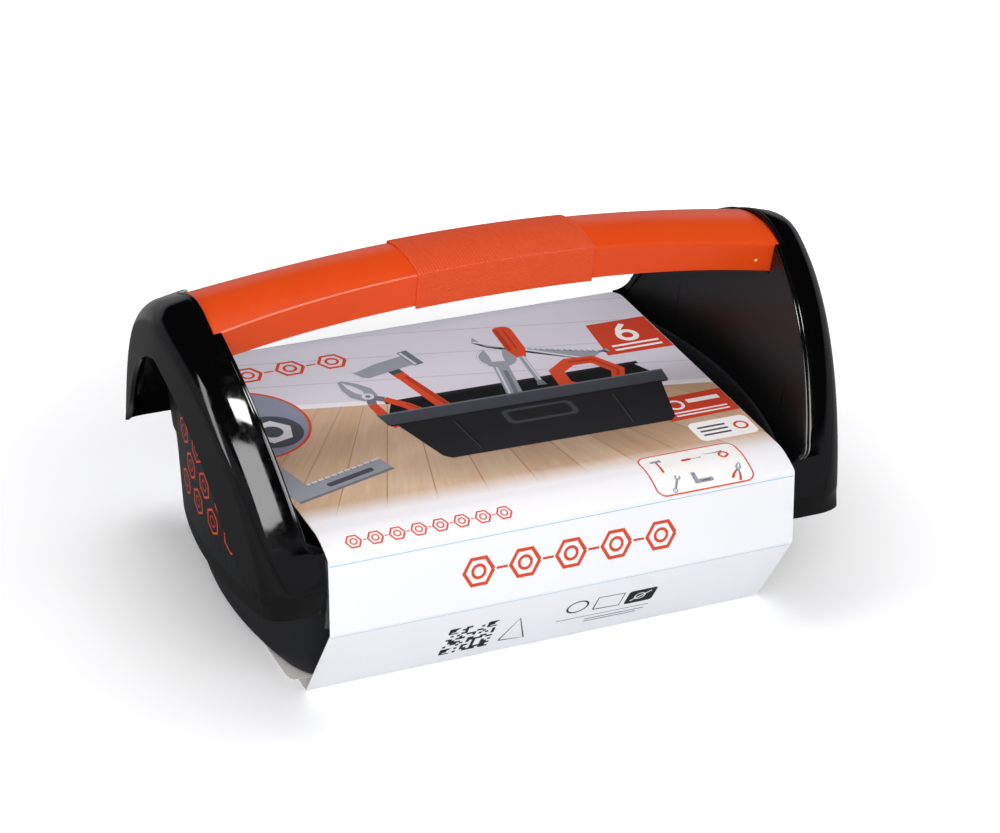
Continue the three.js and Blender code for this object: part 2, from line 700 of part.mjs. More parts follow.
// Badges: a plain raised plate in the middle of each band, with a curved lower edge
const badgeTop = bandTopHeight - badgeTopDrop;
const badgeSteps = 12;
const badgeEdge = [];
for (let i = 0; i <= badgeSteps; i++) {
  const share = (2 * i) / badgeSteps - 1;
  badgeEdge.push([badgeHalfLength * share, bandCreaseHeight - badgeDrop * (1 - share ** 4)]);
}
const badgePlate = prism('y', [...badgeEdge, [badgeHalfLength, badgeTop], [-badgeHalfLength, badgeTop]],
  trayFootHalfWidth, Math.max(bandCreaseHalfWidth, bandTopHalfWidth) + overrun);
const skinTop = badgeTop + overrun;
const skinFoot = bandFootHeight - overrun;
const faceBelow = (z) => (z < bandCreaseHeight ? Math.max(bandFace(z), bandCreaseHalfWidth) : bandFace(z));
const skinFace = (z) => faceBelow(z) + gap;
const badgeSkin = prism('x', [
  [skinFace(skinTop), skinTop],
  [skinFace(bandCreaseHeight), bandCreaseHeight],
  [skinFace(skinFoot), skinFoot],
  [skinFace(skinFoot) + badgeThick, skinFoot],
  [skinFace(bandCreaseHeight) + badgeThick, bandCreaseHeight],
  [skinFace(skinTop) + badgeThick, skinTop],
], -badgeHalfLength - overrun, badgeHalfLength + overrun);
let rearBadge = badgePlate.intersect(badgeSkin);
for (const x of [-pegSpread, pegSpread]) {
  const peg = rod(pegRadius, [x, bandFace(pegHeight) + gap + badgeThick / 2, pegHeight],
    [x, bandFace(pegHeight) - pegDepth, pegHeight], 16);
  rearBadge = rearBadge.add(peg);
}
addPiece('rear_badge', rearBadge, 'slateGrey');
addPiece('front_badge', rearBadge.mirror([0, 1, 0]), 'slateGrey');
addPiece('tray', tray, 'satinBlack');

// Cardboard sleeve: one folded strip, glued to itself under the tray
const sleeveFootHalfWidth = trayFootHalfWidth + sleeveFootStandOff;
const sleeveLowCreaseHeight = bandCreaseHeight - sleeveCreaseDrop;
const sleeveTopCreaseHalfWidth = bandTopHalfWidth + sleeveTopStandOff;
const sleeveTopCreaseHeight = bandTopHeight + sleeveTopCreaseLift;
const sleeveAtBand = bandCreaseHalfWidth + sleeveStandOff;
const sleeveLean = (sleeveAtBand - sleeveTopCreaseHalfWidth) / (sleeveTopCreaseHeight - bandCreaseHeight);
const sleeveLowCreaseHalfWidth = sleeveAtBand + Math.max(sleeveLean, 0) * sleeveCreaseDrop;
const sleeveTopHeight = bandTopHeight + sleeveTopLift;
const sleeveBendHalfWidth = sleeveTopCreaseHalfWidth - sleeveBendRun;
const glueFlapHalfLength = trayFootX - glueFlapInset;
const sleeveOuter = [
  [sleeveFootHalfWidth, 0], [sleeveLowCreaseHalfWidth, sleeveLowCreaseHeight],
  [sleeveTopCreaseHalfWidth, sleeveTopCreaseHeight],
  [
    mix(sleeveBendHalfWidth, sleeveTopCreaseHalfWidth, 0.45),
    mix(sleeveTopHeight, sleeveTopCreaseHeight, 0.3),
  ],
  [sleeveBendHalfWidth, sleeveTopHeight],
];
const sleeveInner = sleeveOuter.map(([y, z], i) => {
  if (i === 0) return [y - cardThick, z + cardThick];
  if (i === 1) return [y - cardThick * 1.05, z];
  return [y - cardThick * (i === 2 ? 0.9 : 0.3), z - cardThick * (i === 2 ? 0.8 : 1)];
});
const cutHalfLength = sleeveHalfLength + overrun;
let sleeve = prism('x', mirrored(sleeveOuter), -sleeveHalfLength, sleeveHalfLength);
sleeve = sleeve.subtract(prism('x', mirrored(sleeveInner), -cutHalfLength, cutHalfLength));
sleeve = sleeve.add(block(-glueFlapHalfLength, glueFlapHalfLength, -glueFlapFront, glueFlapRear,
  cardThick / 2, 2 * cardThick));
addPiece('cardboard_sleeve', sleeve, 'card');

// Where the tools lie
const floorTop = trayFloor + gap;
const roomHalfWidth = trayHalfWidth(trayFloor) - trayWall - trayFootRadius * 0.5 - gap;
const sawY = roomHalfWidth - sawHandleThick / 2;
const squareY = sawY - sawHandleThick / 2 - gap - squareThick / 2;
const toolRearY = squareY - squareThick / 2 - gap; // the loose tools lie in front of this
const toolDepth = toolRearY + roomHalfWidth;
const hammerHeadLength = toolDepth - hammerFrontRoom;
const hammerY = toolRearY - hammerHeadLength / 2;
const hammerEndX = trayFootX - hammerEndRoom;

// Hammer: the head lies across the tray, the handle along it
const headX = hammerEndX - hammerHeadWidth / 2;
const headZ = floorTop + hammerHeadHeight / 2;
// along the head from its face to its claw, and how high it is there
const headShares = [
  [-1, 0.82], [-0.94, 1], [-0.62, 1], [-0.5, 0.78], [-0.3, 0.78], [-0.2, 1],
  [0.2, 1], [0.32, 0.8], [0.7, 0.5], [0.97, 0.3], [1, 0.22],
];
const headRing = ([share, size]) => {
  const y = (share * hammerHeadLength) / 2;
  const ring = [];
  const sides = 12;
  const squareness = 0.55;
  for (let i = 0; i < sides; i++) {
    const a = (2 * Math.PI * (i + 0.5)) / sides;
    const round = (value) => Math.sign(value) * Math.abs(value) ** squareness;
    ring.push([headX + (hammerHeadWidth / 2) * round(Math.cos(a)), hammerY + y,
      headZ + (hammerHeadHeight / 2) * size * round(Math.sin(a))]);
  }
  return ring;
};
const tangHalf = hammerTangWidth / 2;
let hammerHead = loft(headShares.map(headRing));
hammerHead = hammerHead.subtract(block(headX - hammerHeadWidth, headX + hammerHeadWidth * 0.2,
  hammerY - tangHalf - gap, hammerY + tangHalf + gap, headZ - tangHalf - gap, headZ + tangHalf + gap));
addPiece('hammer_head', hammerHead, 'toolGrey');
const handleStartX = hammerStartRoom - trayFootX;
const handleShares = [
  [0, 0.7, 0.7], [0.04, 1, 1], [0.2, 0.9, 1], [0.45, 1, 1],
  [0.6, 0.72, 0.85], [0.95, 0.72, 0.85], [1, 0.85, 1],
];
const handleEndX = headX - hammerHeadWidth / 2 - gap;
const handleRing = ([share, wideShare, highShare]) => {
  const ring = [];
  const sides = 12;
  for (let i = 0; i < sides; i++) {
    const a = (2 * Math.PI * (i + 0.5)) / sides;
    ring.push([
      mix(handleStartX, handleEndX, share),
      hammerY + (hammerHandleWidth * wideShare * Math.cos(a)) / 2,
      headZ + (hammerHandleHeight * highShare * Math.sin(a)) / 2,
    ]);
  }
  return ring;
};
let hammerHandle = loft(handleShares.map(handleRing));
hammerHandle = hammerHandle.add(block(headX - hammerHeadWidth, headX + hammerHeadWidth * 0.2 - gap,
  hammerY - tangHalf, hammerY + tangHalf, headZ - tangHalf, headZ + tangHalf));
addPiece('hammer_handle', hammerHandle, 'orange');

// Screwdriver, across the tray beyond the hammer's head
const driverX = hammerEndX + gap + driverHandleRadius + gap;
const driverZ = floorTop + driverHandleRadius;
const driverStartY = toolRearY - toolDepth;
function turned(points, sides) {
  const profile = points.map(([r, y]) => new THREE.Vector2(r, y));
  return new THREE.LatheGeometry(profile, sides);
}
const driverHandle = turned([
  [0, 0], [driverHandleRadius * 0.75, 0], [driverHandleRadius, driverHandleLength * 0.06],
  [driverHandleRadius * 0.94, driverHandleLength * 0.45],
  [driverHandleRadius, driverHandleLength * 0.7],
  [driverNeckRadius, driverHandleLength * 0.82], [driverNeckRadius, driverHandleLength * 0.94],
  [driverNeckRadius * 1.25, driverHandleLength], [driverShaftRadius + gap, driverHandleLength],
  [driverShaftRadius + gap, driverHandleLength * 0.6], [0, driverHandleLength * 0.6],
], 18);
driverHandle.translate(driverX, driverStartY, driverZ);
addPiece('screwdriver_handle', solidOf(driverHandle), 'orange');
const driverShaft = turned([
  [0, driverHandleLength * 0.6 + gap], [driverShaftRadius, driverHandleLength * 0.6 + gap],
  [driverShaftRadius, toolDepth - driverShaftRadius * 2], [driverShaftRadius * 0.6, toolDepth],
  [0, toolDepth],
], 12);
driverShaft.translate(driverX, driverStartY, driverZ);
addPiece('screwdriver_shaft', solidOf(driverShaft), 'toolGrey');

// Saw: stands on its long edge against the rear wall
const sawStartX = sawEndRoom - trayFootX;
const sawHandleEndX = sawStartX + sawHandleLength;
const sawLift = (sawHandleHeight - sawBladeHeight) / 2;
const sawHandleShares = [
  [0, 0.1], [0.08, 0], [0.85, 0], [1, 0.14], [1, 0.86], [0.9, 1], [0.12, 1], [0, 0.88],
];
const sawHoleShares = [
  [0, 0.88], [0.15, 1], [0.85, 1], [1, 0.88], [1, 0.12], [0.85, 0], [0.15, 0], [0, 0.12],
];
const sawHandleOutline = sawHandleShares.map(([u, v]) => [
  sawStartX + u * sawHandleLength,
  floorTop + v * sawHandleHeight,
]);
const sawHole = sawHoleShares.map(([u, v]) => [
  mix(sawStartX + sawHandleBar, sawHandleEndX - sawHandleBar, u),
  mix(floorTop + sawHandleBar, floorTop + sawHandleHeight - sawHandleBar, v),
]);
const sawFront = sawY - sawHandleThick / 2;
let sawHandle = prism('y', sawHandleOutline, sawFront, sawFront + sawHandleThick, [sawHole]);
const bladeRootX = sawHandleEndX - sawHandleBar / 2;
const slotHalf = sawBladeThick / 2 + gap;
const bladeFootZ = floorTop + sawLift;
const bladeTopZ = bladeFootZ + sawBladeHeight;
sawHandle = sawHandle.subtract(block(
  bladeRootX - gap, sawHandleEndX + overrun, sawY - slotHalf, sawY + slotHalf,
  bladeFootZ - gap, bladeTopZ + gap,
));
addPiece('saw_handle', sawHandle, 'orange');
const bladeEndX = trayFootX - sawEndRoom;
const sawBladeLength = bladeEndX - sawHandleEndX;
const toothCount = Math.max(2, Math.round((sawBladeLength - sawToothPitch) / sawToothPitch));
const toothLine = [];
for (let i = 0; i < toothCount; i++) {
  const x = bladeEndX - (i + 0.5) * ((bladeEndX - sawHandleEndX - sawToothPitch) / toothCount);
  const rise = mix(sawBladeHeight - sawBladeTipHeight, 0, (bladeEndX - x) / (bladeEndX - bladeRootX));
  toothLine.push([x + sawToothPitch * 0.4, bladeFootZ + rise], [x, bladeFootZ + rise + sawToothDepth]);
}
const bladeOutline = [
  [bladeRootX, bladeFootZ], [bladeRootX, bladeTopZ], [bladeEndX - sawToothDepth, bladeTopZ],
  [bladeEndX, bladeTopZ - sawToothDepth], [bladeEndX, bladeFootZ + sawBladeHeight - sawBladeTipHeight],
  ...toothLine, [sawHandleEndX + gap, bladeFootZ],
].reverse();
const bladeFront = sawY - sawBladeThick / 2;
addPiece('saw_blade', prism('y', bladeOutline, bladeFront, bladeFront + sawBladeThick), 'toolGrey');

// Set square: stands in front of the saw
const squareEndX = trayFootX - squareEndRoom;
const squareStartX = -squareEndX;
const squareOutline = [
  [squareStartX, floorTop],
  [squareEndX, floorTop],
  [squareEndX, floorTop + squareHeight],
  [squareEndX - squareArm, floorTop + squareHeight],
  [squareEndX - squareArm, floorTop + squareArm],
  [squareStartX, floorTop + squareArm],
];
const slotX = squareStartX + squareArm / 2;
const slotZ = floorTop + squareArm / 2;
const squareSlot = [
  [slotX, slotZ - squareSlotWidth / 2], [slotX, slotZ + squareSlotWidth / 2],
  [slotX + squareSlotLength, slotZ + squareSlotWidth / 2],
  [slotX + squareSlotLength, slotZ - squareSlotWidth / 2],
];
const squareFront = squareY - squareThick / 2;
const setSquare = prism('y', squareOutline, squareFront, squareFront + squareThick, [squareSlot]);
addPiece('set_square', setSquare, 'toolGrey');

const disc = (radius, cx, cy, sides) => {
  const points = [];
  for (let i = 0; i < sides; i++) {
    const a = (2 * Math.PI * i) / sides;
    points.push([cx + radius * Math.cos(a), cy + radius * Math.sin(a)]);
  }
  return points;
};

// Pliers: two lapped halves that cross at the pin; one half opens towards the front
const pliersY = hammerY - hammerHandleWidth / 2 - pliersJawWidth - 2 * gap
  - (pliersDiscRadius + pliersJawLength) * Math.sin(radians(pliersOpenAngle));
const pliersFoot = floorTop + pliersPinFootHeight + gap;
const gripFoot = pliersFoot - (pliersGripThick - pliersThick) / 2;
const pinX = headX - hammerHeadWidth / 2 - pliersJawLength - pliersDiscRadius - 2 * gap;
const lapHeight = pliersThick / 2;
const pliersArmLength = pinX + trayFootX - pliersEndRoom - pliersDiscRadius - pliersGripCap;
const pliersGripLength = pliersArmLength * pliersGripShare;

// One half seen from above: jaw on +Y, arm on -Y
function halfOutline() {
  const jawTip = pliersDiscRadius + pliersJawLength;
  return [
    [gap, gap / 2],
    [jawTip, gap / 2],
    [jawTip, pliersJawWidth * 0.45],
    [pliersDiscRadius, pliersJawWidth],
    [-pliersDiscRadius * 0.4, pliersDiscRadius * 0.6], [-pliersDiscRadius, -gap],
    [-pliersDiscRadius - pliersArmLength, -pliersSpread + pliersArmWidth / 2],
    [-pliersDiscRadius - pliersArmLength, -pliersSpread - pliersArmWidth / 2],
    [-pliersDiscRadius * 1.4, -pliersArmWidth * 1.3], [0, -pliersDiscRadius * 0.8],
  ].map(([u, v]) => [pinX + u, pliersY + v]);
}
const lapCut = (z0, z1) => prism('z', disc(pliersDiscRadius + gap, pinX, pliersY, 24), z0, z1);
const pinHole = rod(pliersPinRadius + gap, [pinX, pliersY, 0],
  [pinX, pliersY, pliersFoot + pliersThick + overrun], 16);
const movingHalf = prism('z', halfOutline().reverse(), pliersFoot, pliersFoot + pliersThick)
  .add(prism('z', disc(pliersDiscRadius, pinX, pliersY, 24), pliersFoot, pliersFoot + pliersThick))
  .subtract(lapCut(pliersFoot - overrun, pliersFoot + lapHeight + gap / 2))
  .subtract(pinHole);
// The fixed half is the same shape turned over about the long axis of the pliers
const turnOver = (solid) => solid.translate([0, -pliersY, -(pliersFoot + pliersThick / 2)])
  .rotate([180, 0, 0]).translate([0, pliersY, pliersFoot + pliersThick / 2]);
const fixedHalf = turnOver(movingHalf);

// Grips: a thick sheath over the end of each arm
function grown(solid, by) {
  let result = solid;
  for (const step of [[by, 0, 0], [0, by, 0], [0, 0, by]]) {
    result = result.translate(step).add(result.translate(step.map((value) => -value)));
  }
  return result;
}
const gripStart = -pliersDiscRadius - pliersArmLength - pliersGripCap;
const armCentre = (u) => -mix(pliersArmWidth * 0.8, pliersSpread,
  Math.min((-u - pliersDiscRadius) / pliersArmLength, 1));
const gripOutline = [];
for (const u of [gripStart, gripStart + pliersGripLength]) {
  gripOutline.push([pinX + u, pliersY + armCentre(u) - pliersGripWidth / 2]);
}
for (const u of [gripStart + pliersGripLength, gripStart]) {
  gripOutline.push([pinX + u, pliersY + armCentre(u) + pliersGripWidth / 2]);
}
const movingGrip = prism('z', gripOutline, gripFoot, gripFoot + pliersGripThick)
  .subtract(grown(movingHalf, gap));
const fixedGrip = turnOver(movingGrip);
addPiece('pliers_fixed_half', fixedHalf, 'toolGrey');
addPiece('pliers_moving_half', movingHalf, 'toolGrey');
addPiece('pliers_fixed_grip', fixedGrip, 'orange');
addPiece('pliers_moving_grip', movingGrip, 'orange');
const pin = turned([
  [0, floorTop], [pliersPinHeadRadius * 0.7, floorTop], [pliersPinHeadRadius, pliersFoot - gap],
  [pliersPinRadius, pliersFoot - gap], [pliersPinRadius, pliersFoot + pliersThick + gap],
  [pliersPinHeadRadius, pliersFoot + pliersThick + gap],
  [pliersPinHeadRadius * 0.7, pliersFoot + pliersThick + gap + pliersPinHeadHeight],
  [0, pliersFoot + pliersThick + gap + pliersPinHeadHeight],
], 16);
pin.applyMatrix4(new THREE.Matrix4().makeRotationX(Math.PI / 2));
pin.translate(pinX, pliersY, 0);
addPiece('pliers_pin', solidOf(pin), 'toolGrey');

// Spanner, across the tray at its left end
const spannerX = pinX + gripStart - 2 * gap - spannerHeadRadius;
const spannerFootY = toolRearY - toolDepth;
const ringCentre = spannerFootY + spannerRingRadius;
const jawCentre = toolRearY - spannerHeadRadius;
const spannerTop = floorTop + spannerThick;
const spannerCutFoot = floorTop - overrun;
const spannerCutTop = spannerTop + overrun;
let spanner = prism('z', disc(spannerRingRadius, spannerX, ringCentre, 20), floorTop, spannerTop);
spanner = spanner.add(prism('z', disc(spannerHeadRadius, spannerX, jawCentre, 20), floorTop, spannerTop));
spanner = spanner.add(block(
  spannerX - spannerWaist / 2, spannerX + spannerWaist / 2, ringCentre, jawCentre,
  floorTop, floorTop + spannerThick * 0.8,
));
const ringHole = disc(spannerRingBore, spannerX, ringCentre, 6);
spanner = spanner.subtract(prism('z', ringHole, spannerCutFoot, spannerCutTop));
spanner = spanner.subtract(block(
  spannerX - spannerJaw / 2, spannerX + spannerJaw / 2, jawCentre - spannerJaw * 0.2,
  jawCentre + spannerHeadRadius + overrun, spannerCutFoot, spannerCutTop,
));
addPiece('spanner', spanner, 'toolGrey');

export default group;
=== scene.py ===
# A toy tool box in its printed cardboard sleeve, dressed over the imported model.
# Sizes in the dictionaries are millimetres, in the frame of the model; Blender's own are metres.
import bisect
import math
import random

import bmesh
import bpy
from mathutils import Matrix, Vector


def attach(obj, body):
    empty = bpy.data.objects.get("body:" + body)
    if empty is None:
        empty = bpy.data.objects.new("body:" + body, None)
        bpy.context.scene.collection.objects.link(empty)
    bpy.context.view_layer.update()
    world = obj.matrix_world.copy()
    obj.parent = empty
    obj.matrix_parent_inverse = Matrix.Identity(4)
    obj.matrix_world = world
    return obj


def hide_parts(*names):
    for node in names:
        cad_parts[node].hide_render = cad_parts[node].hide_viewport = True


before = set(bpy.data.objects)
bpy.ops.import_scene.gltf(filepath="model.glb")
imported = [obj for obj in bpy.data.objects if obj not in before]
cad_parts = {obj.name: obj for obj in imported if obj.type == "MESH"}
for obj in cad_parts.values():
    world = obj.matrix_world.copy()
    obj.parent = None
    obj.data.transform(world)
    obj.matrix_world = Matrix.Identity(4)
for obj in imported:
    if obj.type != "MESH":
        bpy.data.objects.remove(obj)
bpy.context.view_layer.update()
scene = bpy.context.scene
mm = 0.001
print("frame loaded with", len(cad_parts), "nodes")


# Small helpers

def linear(hexColour):
    shares = [int(hexColour[i:i + 2], 16) / 255 for i in (1, 3, 5)]
    return [s / 12.92 if s <= 0.04045 else ((s + 0.055) / 1.055) ** 2.4 for s in shares] + [1]


def mix(a, b, share):
    return a + (b - a) * share


def addNode(tree, kind, links=None, **settings):
    node = tree.nodes.new(kind)
    for name, value in settings.items():
        setattr(node, name, value)
    for name, value in (links or {}).items():
        source = value.outputs[0] if isinstance(value, bpy.types.Node) else value
        if isinstance(source, bpy.types.NodeSocket):
            tree.links.new(source, node.inputs[name])
        else:
            node.inputs[name].default_value = source
    return node


def addObject(name, data):
    thing = bpy.data.objects.new(name, data)
    scene.collection.objects.link(thing)
    return thing


def newMaterial(name):
    material = bpy.data.materials.new(name)
    material.use_nodes = True
    material.node_tree.nodes.clear()
    return material, material.node_tree


def smoothByAngle(mesh, angle=32):
    shell = bmesh.new()
    shell.from_mesh(mesh)
    for face in shell.faces:
        face.smooth = True
    for edge in shell.edges:
        edge.smooth = len(edge.link_faces) == 2 and edge.calc_face_angle(0) < math.radians(angle)
    shell.to_mesh(mesh)
    shell.free()


def makePiece(name, points, faces, material=None, angle=32, fixNormals=True):
    mesh = bpy.data.meshes.new(name)
    mesh.from_pydata([Vector(p) * mm for p in points], [], faces)
    shell = bmesh.new()
    shell.from_mesh(mesh)
    bmesh.ops.remove_doubles(shell, verts=shell.verts, dist=0.001 * mm)
    if fixNormals:
        bmesh.ops.recalc_face_normals(shell, faces=shell.faces)
    shell.to_mesh(mesh)
    shell.free()
    smoothByAngle(mesh, angle)
    if material:
        mesh.materials.append(material)
    return addObject(name, mesh)


def loft(rings):
    count = len(rings[0])
    points = [p for ring in rings for p in ring]
    faces = []
    for start in range(0, len(points) - count, count):
        for i in range(count):
            j = (i + 1) % count
            faces.append((start + i, start + j, start + count + j, start + count + i))
    faces.append(tuple(reversed(range(count))))
    faces.append(tuple(range(len(points) - count, len(points))))
    return points, faces


def freeze(piece, angle=32):
    graph = bpy.context.evaluated_depsgraph_get()
    mesh = bpy.data.meshes.new_from_object(piece.evaluated_get(graph))
    piece.modifiers.clear()
    piece.data = mesh
    smoothByAngle(mesh, angle)


def combine(piece, tool, operation):
    change = piece.modifiers.new("combine", "BOOLEAN")
    change.operation = operation
    change.solver = "EXACT"
    change.object = tool
    freeze(piece)
    bpy.data.objects.remove(tool)


def mirrorX(piece, name):
    other = piece.copy()
    other.name = name
    other.data = piece.data.copy()
    other.data.transform(Matrix.Diagonal((-1, 1, 1, 1)))
    other.data.flip_normals()
    scene.collection.objects.link(other)
    return other


# Camera

cameraView = {
    "lens": 106.09,
    "sensorWidth": 36,
    "azimuth": -27.03,
    "elevation": 29.25,
    "roll": 3.9,
    "distance": 1563.8,
    "target": (-9.43, -42.36, 116.75),
}


def placeCamera():
    data = bpy.data.cameras.new("camera")
    data.lens = cameraView["lens"]
    data.sensor_width = cameraView["sensorWidth"]
    camera = addObject("camera", data)
    turn = math.radians(cameraView["azimuth"])
    lift = math.radians(cameraView["elevation"])
    roll = math.radians(cameraView["roll"])
    back = Vector((math.sin(turn) * math.cos(lift), -math.cos(turn) * math.cos(lift), math.sin(lift)))
    side = Vector((0, 0, 1)).cross(back).normalized()
    up = back.cross(side)
    right = side * math.cos(roll) + up * math.sin(roll)
    above = up * math.cos(roll) - side * math.sin(roll)
    place = Vector(cameraView["target"]) + back * cameraView["distance"]
    camera.matrix_world = Matrix.Translation(place * mm) @ Matrix((right, above, back)).transposed().to_4x4()
    scene.camera = camera


placeCamera()
scene.view_settings.view_transform = "Standard"
print("camera placed")


# Studio: white floor and surroundings, a dark ceiling for the gloss, soft lamps

studio = {
    "floorHalf": 4000,
    "fill": 0.3,
    "ceiling": "#0C0C0E",
    "horizon": "#9C9DA2",
    "ceilingFrom": 0.23,
    "ceilingTo": 0.38,
    "floorColour": "#F9F9FB",
    "floorInGloss": 0.2,
    "floorGlow": 0.19,
    "farGlow": 0.8,
    "glowFrom": 230,
    "glowTo": 600,
}


def makeStudio():
    world = bpy.data.worlds.new("studio")
    world.use_nodes = True
    scene.world = world
    tree = world.node_tree
    tree.nodes.clear()
    rays = addNode(tree, "ShaderNodeLightPath")
    seen = addNode(tree, "ShaderNodeMath", {
        0: rays.outputs["Is Camera Ray"], 1: rays.outputs["Is Transmission Ray"]}, operation="MAXIMUM")
    place = addNode(tree, "ShaderNodeTexCoord")
    height = addNode(tree, "ShaderNodeSeparateXYZ", {0: place.outputs["Generated"]})
    overhead = addNode(tree, "ShaderNodeMapRange", {
        "Value": height.outputs["Z"], "From Min": studio["ceilingFrom"], "From Max": studio["ceilingTo"]},
        interpolation_type="SMOOTHSTEP")
    gloss = addNode(tree, "ShaderNodeMixRGB", {
        "Fac": overhead, "Color1": linear(studio["horizon"]), "Color2": linear(studio["ceiling"])})
    glossSeen = addNode(tree, "ShaderNodeMixRGB", {
        "Fac": seen, "Color1": gloss, "Color2": (1, 1, 1, 1)})
    bright = addNode(tree, "ShaderNodeBackground", {"Color": glossSeen, "Strength": 1})
    fill = addNode(tree, "ShaderNodeBackground", {"Color": (1, 1, 1, 1), "Strength": studio["fill"]})
    visible = addNode(tree, "ShaderNodeMath", {
        0: seen, 1: rays.outputs["Is Glossy Ray"]}, operation="MAXIMUM")
    both = addNode(tree, "ShaderNodeMixShader", {0: visible, 1: fill, 2: bright})
    addNode(tree, "ShaderNodeOutputWorld", {"Surface": both})

    half = studio["floorHalf"]
    floor = makePiece("floor", [(-half, -half, 0), (half, -half, 0), (half, half, 0), (-half, half, 0)],
                      [(0, 1, 2, 3)], fixNormals=False)
    material, tree = newMaterial("painted floor")
    # gloss shows the floor too, dimmed: for glossy rays its colour and glow drop to a share, painted shade in
    # the floor's reflection on the box
    rays = addNode(tree, "ShaderNodeLightPath")
    seen = addNode(tree, "ShaderNodeMath", {
        0: rays.outputs["Is Camera Ray"], 1: rays.outputs["Is Transmission Ray"]}, operation="MAXIMUM")
    gloss = addNode(tree, "ShaderNodeMath", {
        0: rays.outputs["Is Glossy Ray"], 1: studio["floorInGloss"]}, operation="MULTIPLY")
    seen = addNode(tree, "ShaderNodeMath", {0: seen, 1: gloss}, operation="MAXIMUM")
    white = linear(studio["floorColour"])
    dimmed = [share * studio["floorInGloss"] for share in white[:3]] + [1]
    tone = addNode(tree, "ShaderNodeMixRGB", {
        "Fac": rays.outputs["Is Glossy Ray"], "Color1": white, "Color2": dimmed})
    matt = addNode(tree, "ShaderNodeBsdfDiffuse", {"Color": tone})
    # the floor glows for the camera, and at a share in gloss: painted light, weak near the box and strong far
    # from it, so the floor round the box reads darker
    place = addNode(tree, "ShaderNodeTexCoord")
    away = addNode(tree, "ShaderNodeVectorMath", {0: place.outputs["Object"]}, operation="LENGTH")
    level = addNode(tree, "ShaderNodeMapRange", {
        "Value": away.outputs["Value"], "To Min": studio["floorGlow"], "To Max": studio["farGlow"],
        "From Min": studio["glowFrom"] * mm, "From Max": studio["glowTo"] * mm},
        interpolation_type="SMOOTHSTEP")
    lift = addNode(tree, "ShaderNodeMath", {0: seen, 1: level}, operation="MULTIPLY")
    glow = addNode(tree, "ShaderNodeEmission", {"Color": (1, 1, 1, 1), "Strength": lift})
    surface = addNode(tree, "ShaderNodeAddShader", {0: matt, 1: glow})
    addNode(tree, "ShaderNodeOutputMaterial", {"Surface": surface})
    floor.data.materials.append(material)


# The front box lights the sleeve, and its sheen is the long soft shape in the gloss of the left cap. The
# strip is only seen in gloss too, as the thin line along the handle's front crease.
lamps = {
    "front": {"place": (-293, -1000, 850), "aim": (-100, -50, 130), "along": (1, 0, 0), "size": (1290, 740),
              "power": 10, "inGloss": False},
    "frontSheen": {"place": (-340, -820, 660), "aim": (-100, -50, 130), "along": (1286, 96, 148),
                   "size": (1290, 540), "power": 20, "inDiffuse": False},
    "strip": {"place": (130, -520, 1200), "aim": (-60, -20, 190), "along": (1, 0, 0), "size": (470, 190),
              "power": 9, "inDiffuse": False},
    "overhead": {"place": (-150, 250, 1500), "aim": (0, 0, 100), "along": (1, 0, 0), "size": (900, 500),
                 "power": 5.5, "inGloss": False},
    "left": {"place": (-1250, -100, 500), "aim": (0, 0, 120), "along": (0, 0, 1), "size": (800, 150),
             "power": 2.4},
    "right": {"place": (1300, 300, 600), "aim": (0, 0, 120), "along": (0, 1, 0), "size": (700, 400),
              "power": 4, "inGloss": False},
}


def placeLamps():
    for name, lamp in lamps.items():
        data = bpy.data.lights.new(name, "AREA")
        data.shape = "RECTANGLE"
        data.size = lamp["size"][0] * mm
        data.size_y = lamp["size"][1] * mm
        data.energy = lamp["power"]
        light = addObject(name, data)
        light.visible_glossy = lamp.get("inGloss", True)
        light.visible_diffuse = lamp.get("inDiffuse", True)
        back = (Vector(lamp["place"]) - Vector(lamp["aim"])).normalized()
        above = back.cross(Vector(lamp["along"])).normalized()
        turn = Matrix((above.cross(back), above, back)).transposed().to_4x4()
        light.matrix_world = Matrix.Translation(Vector(lamp["place"]) * mm) @ turn


makeStudio()
placeLamps()
print("studio ready")


# Materials

# How a moulding's surface varies. Sizes are millimetres; from and to say how far a face looks out of the
# box's ends.
moulding = {
    "flowSize": 45,
    "flowTint": 0.02,
    "markSize": 8,
    "grainDepth": 0.1,
    "satinFrom": 0.86,
    "satinTo": 0.97,
    "insideFrom": -0.9,
    "insideTo": -0.6,
    "insideRoughness": 0.42,
}


